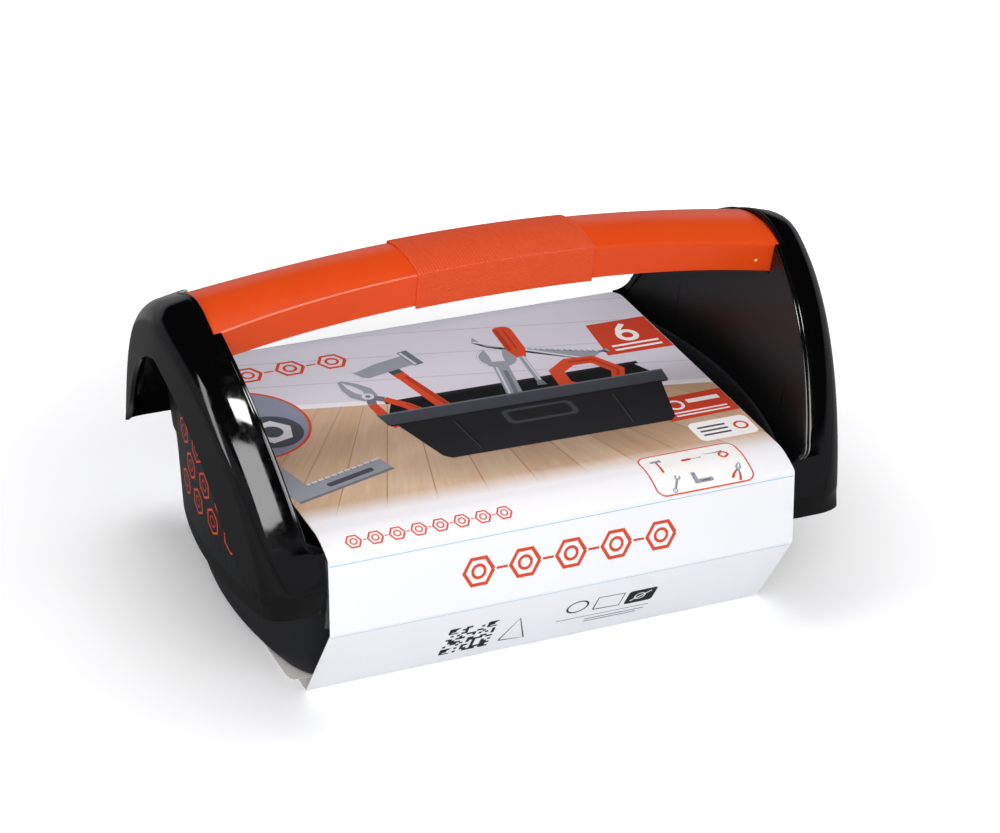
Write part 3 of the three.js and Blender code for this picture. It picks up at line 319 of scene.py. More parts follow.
def mouldedPlastic(name, colour, roughness, grain=0.0, grainSize=0.6, smudge=0.0, satin=None, specular=0.5):
    # Injection moulded: an even colour, soft highlights, faint flow and handling marks. With satin, the
    # faces that look out of the box's ends are etched, the inside is duller, and the rest is polished.
    m = moulding
    material, tree = newMaterial(name)
    place = addNode(tree, "ShaderNodeTexCoord")
    flow = addNode(tree, "ShaderNodeTexNoise", {
        "Vector": place.outputs["Object"], "Scale": 1 / (m["flowSize"] * mm),
        "Detail": 2.0, "Roughness": 0.5})
    marks = addNode(tree, "ShaderNodeTexNoise", {
        "Vector": place.outputs["Object"], "Scale": 1 / (m["markSize"] * mm),
        "Detail": 4.0, "Roughness": 0.62, "Distortion": 0.8})
    tint = addNode(tree, "ShaderNodeMapRange", {
        "Value": flow, "From Min": 0.3, "From Max": 0.7,
        "To Min": 1 - m["flowTint"], "To Max": 1 + m["flowTint"]})
    shade = addNode(tree, "ShaderNodeVectorMath", {
        0: linear(colour)[:3], "Scale": tint}, operation="SCALE")
    wear = addNode(tree, "ShaderNodeMapRange", {
        "Value": marks, "From Min": 0.42, "From Max": 0.72,
        "To Min": roughness, "To Max": roughness + smudge})
    if satin:
        at = addNode(tree, "ShaderNodeSeparateXYZ", {0: place.outputs["Object"]})
        way = addNode(tree, "ShaderNodeSeparateXYZ", {0: place.outputs["Normal"]})
        end = addNode(tree, "ShaderNodeMath", {0: at.outputs["X"]}, operation="SIGN")
        outward = addNode(tree, "ShaderNodeMath", {0: way.outputs["X"], 1: end}, operation="MULTIPLY")
        wear = addNode(tree, "ShaderNodeMapRange", {
            "Value": outward, "From Min": m["satinFrom"], "From Max": m["satinTo"], "To Min": wear,
            "To Max": satin}, interpolation_type="SMOOTHSTEP")
        wear = addNode(tree, "ShaderNodeMapRange", {
            "Value": outward, "From Min": m["insideFrom"], "From Max": m["insideTo"],
            "To Min": m["insideRoughness"], "To Max": wear}, interpolation_type="SMOOTHSTEP")
    surface = addNode(tree, "ShaderNodeBsdfPrincipled", {
        "Base Color": shade, "Roughness": wear, "IOR": 1.5, "Specular IOR Level": specular})
    if grain:
        height = addNode(tree, "ShaderNodeTexNoise", {
            "Vector": place.outputs["Object"], "Scale": 1 / (grainSize * mm), "Detail": 2.0})
        bump = addNode(tree, "ShaderNodeBump", {
            "Height": height, "Strength": grain, "Distance": m["grainDepth"] * mm})
        tree.links.new(bump.outputs[0], surface.inputs["Normal"])
    addNode(tree, "ShaderNodeOutputMaterial", {"Surface": surface})
    return material


# The grip's pattern: ribs across its top, staggered rows of dots on its sides, and a plain raised lip at
# both ends. In this and the later tables a step is a name, an operation and two values, by name or number.
gripPattern = {
    "ribPitch": 1.75,
    "dotPitch": 1.4,
    "topFacing": 0.45,
    "lipFrom": 50,
    "lipRise": 2.6,
    "relief": 0.16,
}
gripSteps = [
    ("ribTurn", "MULTIPLY", "x", 2 * math.pi / (gripPattern["ribPitch"] * mm)),
    ("rib", "SINE", "ribTurn", 0.0),
    ("acrossX", "MULTIPLY", "x", math.pi / (gripPattern["dotPitch"] * mm)),
    ("upZ", "MULTIPLY", "z", math.pi / (gripPattern["dotPitch"] * mm)),
    ("oneWave", "SINE", "acrossX", 0.0),
    ("otherWave", "SINE", "upZ", 0.0),
    ("dot", "MULTIPLY", "oneWave", "otherWave"),
    ("away", "ABSOLUTE", "nz", 0.0),
    ("isTop", "GREATER_THAN", "away", gripPattern["topFacing"]),
    ("isSide", "SUBTRACT", 1.0, "isTop"),
    ("topPart", "MULTIPLY", "rib", "isTop"),
    ("sidePart", "MULTIPLY", "dot", "isSide"),
    ("both", "ADD", "topPart", "sidePart"),
    ("farX", "ABSOLUTE", "x", 0.0),
    ("inPattern", "LESS_THAN", "farX", gripPattern["lipFrom"] * mm),
    ("pattern", "MULTIPLY", "both", "inPattern"),
    ("onLip", "SUBTRACT", 1.0, "inPattern"),
    ("lip", "MULTIPLY", "onLip", gripPattern["lipRise"]),
    ("height", "ADD", "pattern", "lip"),
]


def texturedGrip():
    # Soft polypropylene with a moulded pattern: dull, so that its fine relief shows as a change of tone
    material, tree = newMaterial("textured orange polypropylene")
    place = addNode(tree, "ShaderNodeTexCoord")
    at = addNode(tree, "ShaderNodeSeparateXYZ", {0: place.outputs["Object"]})
    way = addNode(tree, "ShaderNodeSeparateXYZ", {0: place.outputs["Normal"]})
    values = {"x": at.outputs["X"], "z": at.outputs["Z"], "nz": way.outputs["Z"]}
    for name, operation, a, b in gripSteps:
        values[name] = addNode(tree, "ShaderNodeMath", {
            0: values.get(a, a), 1: values.get(b, b)}, operation=operation)
    bump = addNode(tree, "ShaderNodeBump", {
        "Height": values["height"], "Strength": 0.8, "Distance": gripPattern["relief"] * mm})
    surface = addNode(tree, "ShaderNodeBsdfPrincipled", {
        "Base Color": linear("#E64C14"), "Roughness": 0.5, "IOR": 1.49, "Specular IOR Level": 0.35,
        "Normal": bump})
    addNode(tree, "ShaderNodeOutputMaterial", {"Surface": surface})
    return material


# The printed scene on the sleeve: a boarded wall behind, floorboards that run back to one point, and bare
# white board in front. Lengths are millimetres, from the middle of the box.
printedScene = {
    "wallFrom": 9,
    "wallSlope": 0.2,
    "wallRow": 27,
    "rowLineShare": 0.035,
    "skirtingHeight": 5,
    "frontEdge": -87,
    "edgeSlope": 0.026,
    "edgeFade": 14,
    "sheetTop": 93.6,
    "farX": -5,
    "farY": 118,
    "boardsPerTurn": 7,
    "jointFrom": 0.484,
    "grainLength": 34,
    "shadowX": 30,
    "shadowY": -52,
    "shadowWide": 118,
    "shadowDeep": 26,
    "shadowShare": 0.42,
}
sheetSteps = [
    ("across", "MULTIPLY", "x", 1000.0),
    ("back", "MULTIPLY", "y", 1000.0),
    ("up", "MULTIPLY", "z", 1000.0),
    ("slope", "MULTIPLY", "across", "wallSlope"),
    ("level", "ADD", "back", "slope"),
    ("aboveLine", "SUBTRACT", "level", "wallFrom"),
    ("isWall", "GREATER_THAN", "aboveLine", 0.0),
    ("tilt", "MULTIPLY", "across", "edgeSlope"),
    ("fromEdge", "ADD", "back", "tilt"),
    ("pastEdge", "SUBTRACT", "fromEdge", "frontEdge"),
    ("edgeShare", "DIVIDE", "pastEdge", "edgeFade"),
    ("inFront", "MAXIMUM", "edgeShare", 0.0),
    ("softEdge", "MINIMUM", "inFront", 1.0),
    ("onTop", "GREATER_THAN", "up", "sheetTop"),
    ("printed", "MULTIPLY", "softEdge", "onTop"),
    ("toSide", "SUBTRACT", "across", "farX"),
    ("toPoint", "SUBTRACT", "farY", "back"),
    ("ray", "DIVIDE", "toSide", "toPoint"),
    ("count", "MULTIPLY", "ray", "boardsPerTurn"),
    ("board", "FLOOR", "count", 0.0),
    ("inBoard", "FRACT", "count", 0.0),
    ("centred", "SUBTRACT", "inBoard", 0.5),
    ("off", "ABSOLUTE", "centred", 0.0),
    ("joint", "GREATER_THAN", "off", "jointFrom"),
    ("grainX", "MULTIPLY", "count", 5.0),
    ("grainY", "DIVIDE", "toPoint", "grainLength"),
    ("grainZ", "MULTIPLY", "board", 3.7),
    ("row", "DIVIDE", "aboveLine", "wallRow"),
    ("inRow", "FRACT", "row", 0.0),
    ("rowLine", "LESS_THAN", "inRow", "rowLineShare"),
    ("skirting", "LESS_THAN", "aboveLine", "skirtingHeight"),
    ("shadeX", "SUBTRACT", "across", "shadowX"),
    ("shadeY", "SUBTRACT", "back", "shadowY"),
    ("shadeXs", "DIVIDE", "shadeX", "shadowWide"),
    ("shadeYs", "DIVIDE", "shadeY", "shadowDeep"),
    ("shadeX2", "MULTIPLY", "shadeXs", "shadeXs"),
    ("shadeY2", "MULTIPLY", "shadeYs", "shadeYs"),
    ("shadeFar", "ADD", "shadeX2", "shadeY2"),
    ("shadeNear", "SUBTRACT", 1.0, "shadeFar"),
    ("shadow", "MAXIMUM", "shadeNear", 0.0),
    ("shade", "MULTIPLY", "shadow", "shadowShare"),
]
# the sheet's colours, laid over one another: a name, the way they mix, by how much, and the two colours
sheetTones = [
    ("oak", "MIX", "grain", "#EBD6BE", "#C9A682"),
    ("toned", "MIX", "tone", "#FFFFFF", "#E9DDD2"),
    ("boards", "MULTIPLY", 1.0, "oak", "toned"),
    ("joints", "MIX", "joint", "boards", "#B5916F"),
    ("shaded", "MIX", "shade", "joints", "#5E4A3C"),
    ("wall", "MIX", "rowLine", "#DCDAE6", "#C6C3D2"),
    ("skirted", "MIX", "skirting", "wall", "#F0EFF5"),
    ("picture", "MIX", "isWall", "shaded", "skirted"),
    ("sheet", "MIX", "printed", "#F7F8FC", "picture"),
]


def printedSheet():
    # White clay-coated carton with offset printing: a smooth, slightly glossy skin that is never quite flat
    material, tree = newMaterial("printed coated carton")
    place = addNode(tree, "ShaderNodeTexCoord")
    at = addNode(tree, "ShaderNodeSeparateXYZ", {0: place.outputs["Object"]})
    values = {"x": at.outputs["X"], "y": at.outputs["Y"], "z": at.outputs["Z"], **printedScene}
    for name, operation, a, b in sheetSteps:
        values[name] = addNode(tree, "ShaderNodeMath", {
            0: values.get(a, a), 1: values.get(b, b)}, operation=operation)
    along = addNode(tree, "ShaderNodeCombineXYZ", {
        "X": values["grainX"], "Y": values["grainY"], "Z": values["grainZ"]})
    values["grain"] = addNode(tree, "ShaderNodeTexNoise", {
        "Vector": along, "Scale": 1.0, "Detail": 5.0, "Roughness": 0.6, "Distortion": 0.3})
    values["tone"] = addNode(tree, "ShaderNodeTexWhiteNoise", {"W": values["board"]}, noise_dimensions="1D")
    for name, way, share, a, b in sheetTones:
        values[name] = addNode(tree, "ShaderNodeMixRGB", {
            "Fac": values.get(share, share), "Color1": values.get(a) or linear(a),
            "Color2": values.get(b) or linear(b)}, blend_type=way)
    buckle = addNode(tree, "ShaderNodeTexNoise", {
        "Vector": place.outputs["Object"], "Scale": 1 / (55 * mm), "Detail": 1.0})
    bump = addNode(tree, "ShaderNodeBump", {"Height": buckle, "Strength": 0.25, "Distance": 1.2 * mm})
    surface = addNode(tree, "ShaderNodeBsdfPrincipled", {
        "Base Color": values["sheet"], "Roughness": 0.55, "IOR": 1.45, "Specular IOR Level": 0.25,
        "Normal": bump})
    addNode(tree, "ShaderNodeOutputMaterial", {"Surface": surface})
    return material


def inkLayer(name, roughness):
    # Ink on the sheet, each shape in its own colour from the mesh, as even as a press lays it
    material, tree = newMaterial(name)
    ink = addNode(tree, "ShaderNodeAttribute", attribute_name="ink")
    surface = addNode(tree, "ShaderNodeBsdfPrincipled", {
        "Base Color": ink.outputs["Color"], "Roughness": roughness, "IOR": 1.45,
        "Specular IOR Level": 0.25})
    addNode(tree, "ShaderNodeOutputMaterial", {"Surface": surface})
    return material


def rawBoard():
    # The uncoated back and the cut edges of the carton: pale cream, dull, flecked with fibres
    material, tree = newMaterial("uncoated carton")
    place = addNode(tree, "ShaderNodeTexCoord")
    fibre = addNode(tree, "ShaderNodeTexNoise", {
        "Vector": place.outputs["Object"], "Scale": 1 / (1.2 * mm), "Detail": 4.0, "Roughness": 0.7})
    tint = addNode(tree, "ShaderNodeMixRGB", {
        "Fac": fibre, "Color1": linear("#FCF9F7"), "Color2": linear("#EBE4DD")})
    surface = addNode(tree, "ShaderNodeBsdfPrincipled", {
        "Base Color": tint, "Roughness": 0.85, "IOR": 1.4})
    addNode(tree, "ShaderNodeOutputMaterial", {"Surface": surface})
    return material


glossBlackAbs = mouldedPlastic("gloss black ABS", "#050506", 0.06, grain=0.3, grainSize=14, smudge=0.1,
                               satin=0.45, specular=0.45)
satinBlackPp = mouldedPlastic("satin black polypropylene", "#1E1F23", 0.48, grain=0.15, smudge=0.04,
                              specular=0.35)
slateGreyPp = mouldedPlastic("slate grey polypropylene", "#4C5157", 0.42, grain=0.15, smudge=0.05)
orangePp = mouldedPlastic("orange polypropylene", "#EA4C12", 0.24, smudge=0.006, specular=0.4)
# the pip's pale cream is a painted highlight, standing in for the small bright glint on the bar's front near
# its end
pipHighlightPp = mouldedPlastic("pale orange polypropylene with painted highlight", "#F3C98A", 0.4, smudge=0.03)
orangeGripPp = texturedGrip()
toolGreyAbs = mouldedPlastic("grey ABS", "#8E959D", 0.34, smudge=0.05)
labelFilm = mouldedPlastic("dark label film", "#0C1019", 0.36, smudge=0.03, specular=0.4)
printedBoard = printedSheet()
plainBoard = rawBoard()
printingInk = inkLayer("offset printing ink", 0.5)
labelInk = inkLayer("screen printing ink", 0.3)
print("materials ready")


# End caps: an arched hood swept round two wide arcs and a crown, with a bulged wall inside

capShape = {
    "archRadius": 166,
    "archBase": 30.3,
    "crownRadius": 38.2,
    "creaseHeight": 77,
    "creaseHalfWidth": 114,
    "skirtHeight": 63.3,
    "skirtTuck": 1.8,
    "halfLength": 188,
    "flankReach": 107,
    "flankSweep": 21,
    "wall": 2.4,
    "crownLift": 3.2,
    "crownFall": 6.6,
    "crownReach": 105,
    "shoulderRadius": 10,
    "cornerRadius": 13,
    "flankWidth": 25,
    "fallShare": 0.8,
    "joinX": 165,
    "lipTopHeight": 180,
    "lipTopX": 160.8,
    "lipFootHeight": 105,
    "lipFootX": 144.7,
    "lipFillet": 9,
    "lipDepth": 4,
    "footX": 135.7,
    "edgeRound": 0.9,
    "neckHalfWidth": 24.9,
    "neckStep": 0.3,
    "skirtShare": 0.22,
    "endWallX": 159.5,
    "wallHalfWidth": 109.7,
    "wallLeanShare": 0.045,
    "wallLeanFrom": 90,
    "bulgeReach": 100,
    "bulgeTop": 10.7,
    "bulgeFoot": 21,
    "bulgeTopHeight": 110,
    "shieldHalfWidth": 61,
    "shieldStep": 0.02,
    "shieldFoot": 31,
    "webFoot": 78,
    "webHalfWidth": 108,
    "sink": 0.4,
    "ledgeThick": 1.8,
    "ledgeHalfWidth": 106,
}
capShape["archOffset"] = (
    math.sqrt(capShape["archRadius"] ** 2 - (capShape["creaseHeight"] - capShape["archBase"]) ** 2)
    - capShape["creaseHalfWidth"])
capShape["crownCentre"] = capShape["archBase"] + math.sqrt(
    (capShape["archRadius"] - capShape["crownRadius"]) ** 2 - capShape["archOffset"] ** 2)
capShape["crownAngle"] = math.asin(
    capShape["archOffset"] / (capShape["archRadius"] - capShape["crownRadius"]))
capShape["creaseAngle"] = math.acos(
    (capShape["creaseHeight"] - capShape["archBase"]) / capShape["archRadius"])
# the outer face's width, as a share of flankWidth, by how far down the arch it is
flankWidthShares = [(0, 1), (0.25, 1.03), (0.5, 1.2), (0.66, 1.2), (0.78, 0.8), (0.9, 0.5), (1, 0.24)]
# the groove along the lip: how far from its edge, and how deep
lipGroove = [(1.5, 0), (1.8, 0.12), (2.1, 0.34), (2.4, 0.34), (2.7, 0.12), (3, 0)]


def archStation(angle, inset=0):
    c = capShape
    way = (1 - c["skirtShare"]) * angle / c["creaseAngle"]
    s, k = math.sin(angle), math.cos(angle)
    if angle <= c["crownAngle"]:
        radius = c["crownRadius"] - inset
        return {"y": radius * s, "z": c["crownCentre"] + radius * k, "ny": s, "nz": k, "way": way}
    radius = c["archRadius"] - inset
    return {"y": radius * s - c["archOffset"], "z": c["archBase"] + radius * k, "ny": s, "nz": k, "way": way}


def skirtStation(down):
    c = capShape
    drop = c["creaseHeight"] - c["skirtHeight"]
    length = math.hypot(drop, c["skirtTuck"])
    return {"y": c["creaseHalfWidth"] - c["skirtTuck"] * down, "z": c["creaseHeight"] - drop * down,
            "ny": drop / length, "nz": -c["skirtTuck"] / length,
            "way": 1 - c["skirtShare"] + c["skirtShare"] * down}


def flankWidthAt(way):
    # a smooth curve through the shares
    for i in range(len(flankWidthShares) - 1):
        (w0, s0), (w1, s1) = flankWidthShares[i], flankWidthShares[i + 1]
        if way <= w1:
            before = flankWidthShares[max(i - 1, 0)]
            after = flankWidthShares[min(i + 2, len(flankWidthShares) - 1)]
            slope0 = (s1 - before[1]) / (w1 - before[0]) * (w1 - w0)
            slope1 = (after[1] - s0) / (after[0] - w0) * (w1 - w0)
            t = (way - w0) / (w1 - w0)
            value = ((2 * t ** 3 - 3 * t ** 2 + 1) * s0 + (t ** 3 - 2 * t ** 2 + t) * slope0
                     + (3 * t ** 2 - 2 * t ** 3) * s1 + (t ** 3 - t ** 2) * slope1)
            return capShape["flankWidth"] * value
    return capShape["flankWidth"] * flankWidthShares[-1][1]


def flankX(y):
    return capShape["halfLength"] - capShape["flankSweep"] * (abs(y) / capShape["flankReach"]) ** 1.5


def inNeck(side):
    # the stretch that the bar comes through, up to half a step past it
    return side < capShape["neckHalfWidth"] + capShape["neckStep"] / 2


def lipX(y, z):
    c = capShape
    if inNeck(y):
        return c["joinX"]
    if z >= c["lipFootHeight"]:
        slope = (c["lipTopX"] - c["lipFootX"]) / (c["lipTopHeight"] - c["lipFootHeight"])
        return c["lipFootX"] + slope * (z - c["lipFootHeight"])
    below = c["lipFootHeight"] - z
    if below >= c["lipFillet"]:
        return c["footX"]
    return c["footX"] + (c["lipFootX"] - c["footX"]) * math.sqrt(1 - (below / c["lipFillet"]) ** 2)


def crownRise(x, side):
    c = capShape
    fade = max(1 - (side / c["crownReach"]) ** 2, 0) ** 2
    return fade * (c["crownLift"] - c["crownFall"] * (x - c["joinX"]) / (c["halfLength"] - c["joinX"]))


def hoodRing(station):
    c = capShape
    y, z, ny, nz = station["y"], station["z"], station["ny"], station["nz"]
    side, wall, r = abs(y), c["wall"], c["edgeRound"]
    lip = lipX(side, z)
    width = flankWidthAt(station["way"])
    run = mix(c["shoulderRadius"], c["cornerRadius"], station["way"])
    fall = min(run, width * c["fallShare"])
    rim = wall if inNeck(side) else c["lipDepth"]

    def place(x, depth):
        return (x, y - ny * depth, z - nz * depth + crownRise(x, side))

    def faceX(depth):
        return flankX(y - ny * depth)

    def bend(i, steps):
        turn = math.pi / 2 * i / steps
        return math.sin(turn), 1 - math.cos(turn)

    ring = [place(lip + c["sink"], rim)]
    for i in range(5):
        s, k = bend(i, 4)
        ring.append(place(lip + r * k, r * (1 - s)))
    ring += [place(lip + along, depth) for along, depth in lipGroove]
    for i in range(13):
        s, k = bend(i, 12)
        ring.append(place(faceX(fall * k) - run * (1 - s), fall * k))
    for i in range(1, 9):
        depth = mix(fall, width - r, i / 8)
        ring.append(place(faceX(depth), depth))
    for i in range(1, 5):
        s, k = bend(i, 4)
        ring.append(place(faceX(width) - r * k, width - r * (1 - s)))
    ring.append(place(faceX(width) - wall, width))
    for i in range(8, 0, -1):
        depth = mix(max(fall, wall + 0.5), width, i / 9)
        ring.append(place(faceX(depth) - wall, depth))
    for i in range(12, -1, -1):
        s, k = bend(i, 12)
        depth = wall + max(fall - wall, 0.5) * k
        ring.append(place(faceX(depth) - wall - (run - wall) * (1 - s), depth))
    ring += [place(lip + wall + 0.5, wall), place(lip + wall, rim)]
    return ring


def wallX(y, z):
    # the end wall leans out as it rises, and bulges more the lower it is
    c = capShape
    low = (c["bulgeTopHeight"] - z) / (c["bulgeTopHeight"] - c["shieldFoot"])
    bulge = mix(c["bulgeTop"], c["bulgeFoot"], min(max(low, 0), 1))
    return c["endWallX"] + c["wallLeanShare"] * (z - c["wallLeanFrom"]) - bulge * (y / c["bulgeReach"]) ** 2


def hoodTop(side, inset):
    # height of the hood's underside above a place across the box
    c = capShape
    if side <= (c["crownRadius"] - inset) * math.sin(c["crownAngle"]):
        return c["crownCentre"] + math.sqrt((c["crownRadius"] - inset) ** 2 - side ** 2)
    reach = (c["archRadius"] - inset) ** 2 - (side + c["archOffset"]) ** 2
    return c["archBase"] + math.sqrt(reach)


def makeCap():
    c, h = capShape, handleShape
    angles = [c["creaseAngle"] * i / 90 for i in range(91)]
    for width in (c["neckHalfWidth"], c["neckHalfWidth"] + c["neckStep"]):
        angles.append(math.asin((width + c["archOffset"]) / c["archRadius"]))
    for i in range(9):
        height = c["lipFootHeight"] - c["lipFillet"] * math.sin(math.pi / 2 * i / 8)
        angles.append(math.acos((height - c["archBase"]) / c["archRadius"]))
    half = [archStation(angle) for angle in sorted(set(angles))]
    half += [skirtStation(down / 6) for down in range(1, 7)]
    stations = [{**s, "y": -s["y"], "ny": -s["ny"]} for s in reversed(half[1:])] + half
    cap = makePiece("cap_right", *loft([hoodRing(s) for s in stations]), glossBlackAbs, angle=30)

    # the end wall stands in columns, down to the shield's foot in the middle and to the web's beside it
    widths = [c["wallHalfWidth"] * i / 80 for i in range(81)]
    widths = sorted(widths + [c["shieldHalfWidth"], c["shieldHalfWidth"] + c["shieldStep"]])
    columns = []
    for y in [-w for w in reversed(widths[1:])] + widths:
        side = abs(y)
        foot = c["shieldFoot"]
        if side > c["shieldHalfWidth"]:
            beside = (side - c["shieldHalfWidth"]) / (c["webHalfWidth"] - c["shieldHalfWidth"])
            foot = max(mix(c["webFoot"], c["skirtHeight"], beside), c["skirtHeight"] - 1)
        top = hoodTop(side, c["wall"] - c["sink"])
        top += crownRise(wallX(y, top), side)
        levels = [mix(foot, top, i / 40) for i in range(41)]
        outer = [(max(wallX(y, z), c["footX"] + c["sink"]), y, z) for z in levels]
        inner = [(max(wallX(y, z) - c["wall"], c["footX"]), y, z) for z in reversed(levels)]
        columns.append(outer + inner)
    wall = makePiece("wall", *loft(columns), glossBlackAbs, angle=30)
    side, crease, _, depth = handleSize(c["joinX"])
    gap = h["mouthGap"]
    half = [(side + gap, h["mouthTop"]), (side + gap, crease)]
    half.append((side + gap - h["draft"], crease - depth - gap))
    mouth = half + [(-y, z) for y, z in reversed(half)]
    window = makePiece("window", *loft([[(x, y, z) for y, z in mouth] for x in h["mouthSpan"]]))
    combine(wall, window, "DIFFERENCE")
    combine(cap, wall, "UNION")
    return cap


# Handle: its section follows a rule along the box

handleShape = {
    "joinX": 165,
    "topHeight": 197.9,
    "endHeight": 182.6,
    "halfWidth": 24.6,
    "waist": 4.4,
    "dome": 5.4,
    "draft": 1,
    "depth": 18.9,
    "endDepth": 16.6,
    "bowPower": 2.1,
    "flarePower": 3.2,
    "domePower": 2.5,
    "topShare": 0.6,
    "wall": 3.2,
    "edgeRound": 0.9,
    "gripHalfLength": 51.5,
    "gripProud": 0.9,
    "gripLip": 1.2,
    "gripWall": 1.1,
    "gripRound": 0.45,
    "fitGap": 0.3,
    "pipX": 151,
    "pipShare": 0.6,
    "mouthGap": 0.3,
    "mouthTop": 230,
    "mouthSpan": (150, 165),
    "tongueStart": 9,
    "tongueEnd": 8,
    "tongueSkin": 1.2,
    "tongueThick": 6,
    "tongueInBar": 1.6,
    "tongueInCap": 3,
}
# the gate mark's radius, and how far it stands proud there
pipProfile = [(0.9, -0.6), (0.9, 0.1), (0.75, 0.35), (0.4, 0.5)]


def handleSize(x):
    # half width, height of the crease, rise of the dome and depth of the side, as the node tree has them
    h = handleShape
    along = min(abs(x) / h["joinX"], 1)
    side = h["halfWidth"] - h["waist"] * (1 - along ** h["flarePower"])
    crease = mix(h["topHeight"], h["endHeight"], along ** h["bowPower"])
    dome = h["dome"] * (side / h["halfWidth"]) ** h["domePower"]
    return side, crease, dome, mix(h["depth"], h["endDepth"], along ** 2)


# Up to the top share of the sheet's half width the rule makes the bar's dome; the rest, on each side, is the
# bar's side.
handleSteps = [
    ("x", "MULTIPLY", "sheetX", "Half Length"),
    ("away", "ABSOLUTE", "x", 0.0),
    ("along", "DIVIDE", "away", "Rule Length"),
    ("bow", "POWER", "along", handleShape["bowPower"]),
    ("fall", "SUBTRACT", "End", "Top"),
    ("fallen", "MULTIPLY", "fall", "bow"),
    ("crease", "ADD", "Top", "fallen"),
    ("flare", "POWER", "along", handleShape["flarePower"]),
    ("narrow", "SUBTRACT", 1.0, "flare"),
    ("waist", "MULTIPLY", "Waist", "narrow"),
    ("side", "SUBTRACT", "Half Width", "waist"),
    ("sideShare", "DIVIDE", "side", "Half Width"),
    ("domeShare", "POWER", "sideShare", handleShape["domePower"]),
    ("rise", "MULTIPLY", "Dome", "domeShare"),
    ("square", "MULTIPLY", "along", "along"),
    ("thinning", "SUBTRACT", "End Depth", "Depth"),
    ("thinner", "MULTIPLY", "thinning", "square"),
    ("depth", "ADD", "Depth", "thinner"),
    ("across", "ABSOLUTE", "sheetY", 0.0),
    ("onTop", "DIVIDE", "across", handleShape["topShare"]),
    ("top", "MINIMUM", "onTop", 1.0),
    ("past", "SUBTRACT", "across", handleShape["topShare"]),
    ("pastShare", "DIVIDE", "past", 1 - handleShape["topShare"]),
    ("down", "MAXIMUM", "pastShare", 0.0),
    ("reach", "MULTIPLY", "side", "top"),
    ("draft", "MULTIPLY", "Draft", "down"),
    ("width", "SUBTRACT", "reach", "draft"),
    ("sign", "SIGN", "sheetY", 0.0),
    ("y", "MULTIPLY", "width", "sign"),
    ("topSquare", "MULTIPLY", "top", "top"),
    ("domeFade", "SUBTRACT", 1.0, "topSquare"),
    ("over", "MULTIPLY", "rise", "domeFade"),
    ("crown", "ADD", "crease", "over"),
    ("drop", "MULTIPLY", "depth", "down"),
    ("z", "SUBTRACT", "crown", "drop"),
]


def handleTree():
    # a sheet bent to the handle's rule: x runs along the bar, and the section is a dome with two sides
    tree = bpy.data.node_groups.new("handle rule", "GeometryNodeTree")
    tree.interface.new_socket("Geometry", in_out="INPUT", socket_type="NodeSocketGeometry")
    names = ["Half Length", "Rule Length", "Top", "End", "Half Width", "Waist", "Dome", "Draft", "Depth",
             "End Depth"]
    for name in names:
        tree.interface.new_socket(name, in_out="INPUT", socket_type="NodeSocketFloat")
    tree.interface.new_socket("Stations", in_out="INPUT", socket_type="NodeSocketInt")
    tree.interface.new_socket("Material", in_out="INPUT", socket_type="NodeSocketMaterial")
    tree.interface.new_socket("Geometry", in_out="OUTPUT", socket_type="NodeSocketGeometry")
    given = addNode(tree, "NodeGroupInput").outputs

    sheet = addNode(tree, "GeometryNodeMeshGrid", {
        "Size X": 2.0, "Size Y": 2.0, "Vertices X": given["Stations"], "Vertices Y": 41})
    place = addNode(tree, "ShaderNodeSeparateXYZ", {0: addNode(tree, "GeometryNodeInputPosition")})
    values = {name: given[name] for name in names}
    values.update({"sheetX": place.outputs["X"], "sheetY": place.outputs["Y"]})
    for name, operation, a, b in handleSteps:
        values[name] = addNode(tree, "ShaderNodeMath", {
            0: values.get(a, a), 1: values.get(b, b)}, operation=operation)
    bent = addNode(tree, "ShaderNodeCombineXYZ", {
        "X": values["x"], "Y": values["y"], "Z": values["z"]})
    moved = addNode(tree, "GeometryNodeSetPosition", {"Geometry": sheet, "Position": bent})
    real = addNode(tree, "GeometryNodeRealizeInstances", {0: moved})
    painted = addNode(tree, "GeometryNodeSetMaterial", {
        "Geometry": real, "Material": given["Material"]})
    addNode(tree, "NodeGroupOutput", {0: painted})
    return tree


def growFromTree(name, tree, values):
    piece = addObject(name, bpy.data.meshes.new(name))
    change = piece.modifiers.new("nodes", "NODES")
    change.node_group = tree
    sockets = {item.name: item.identifier for item in tree.interface.items_tree if item.in_out == "INPUT"}
    for key, value in values.items():
        change[sockets[key]] = value
    freeze(piece)
    return piece


def thicken(piece, thickness, rounding):
    wall = piece.modifiers.new("wall", "SOLIDIFY")
    wall.thickness = thickness * mm
    wall.offset = -1
    wall.use_even_offset = True
    edge = piece.modifiers.new("edge", "BEVEL")
    edge.width = rounding * mm
    edge.segments = 4
    edge.limit_method = "ANGLE"
    edge.angle_limit = math.radians(35)
    edge.use_clamp_overlap = False
    freeze(piece)


def ruleValues(halfLength, proud, lip, stations, material):
    h = handleShape
    lengths = {
        "Half Length": halfLength, "Rule Length": h["joinX"], "Top": h["topHeight"] + proud,
        "End": h["endHeight"] + proud, "Half Width": h["halfWidth"] + proud, "Waist": h["waist"],
        "Dome": h["dome"], "Draft": h["draft"], "Depth": h["depth"] + proud + lip,
        "End Depth": h["endDepth"] + proud + lip}
    values = {name: length * mm for name, length in lengths.items()}
    return {**values, "Stations": stations, "Material": material}


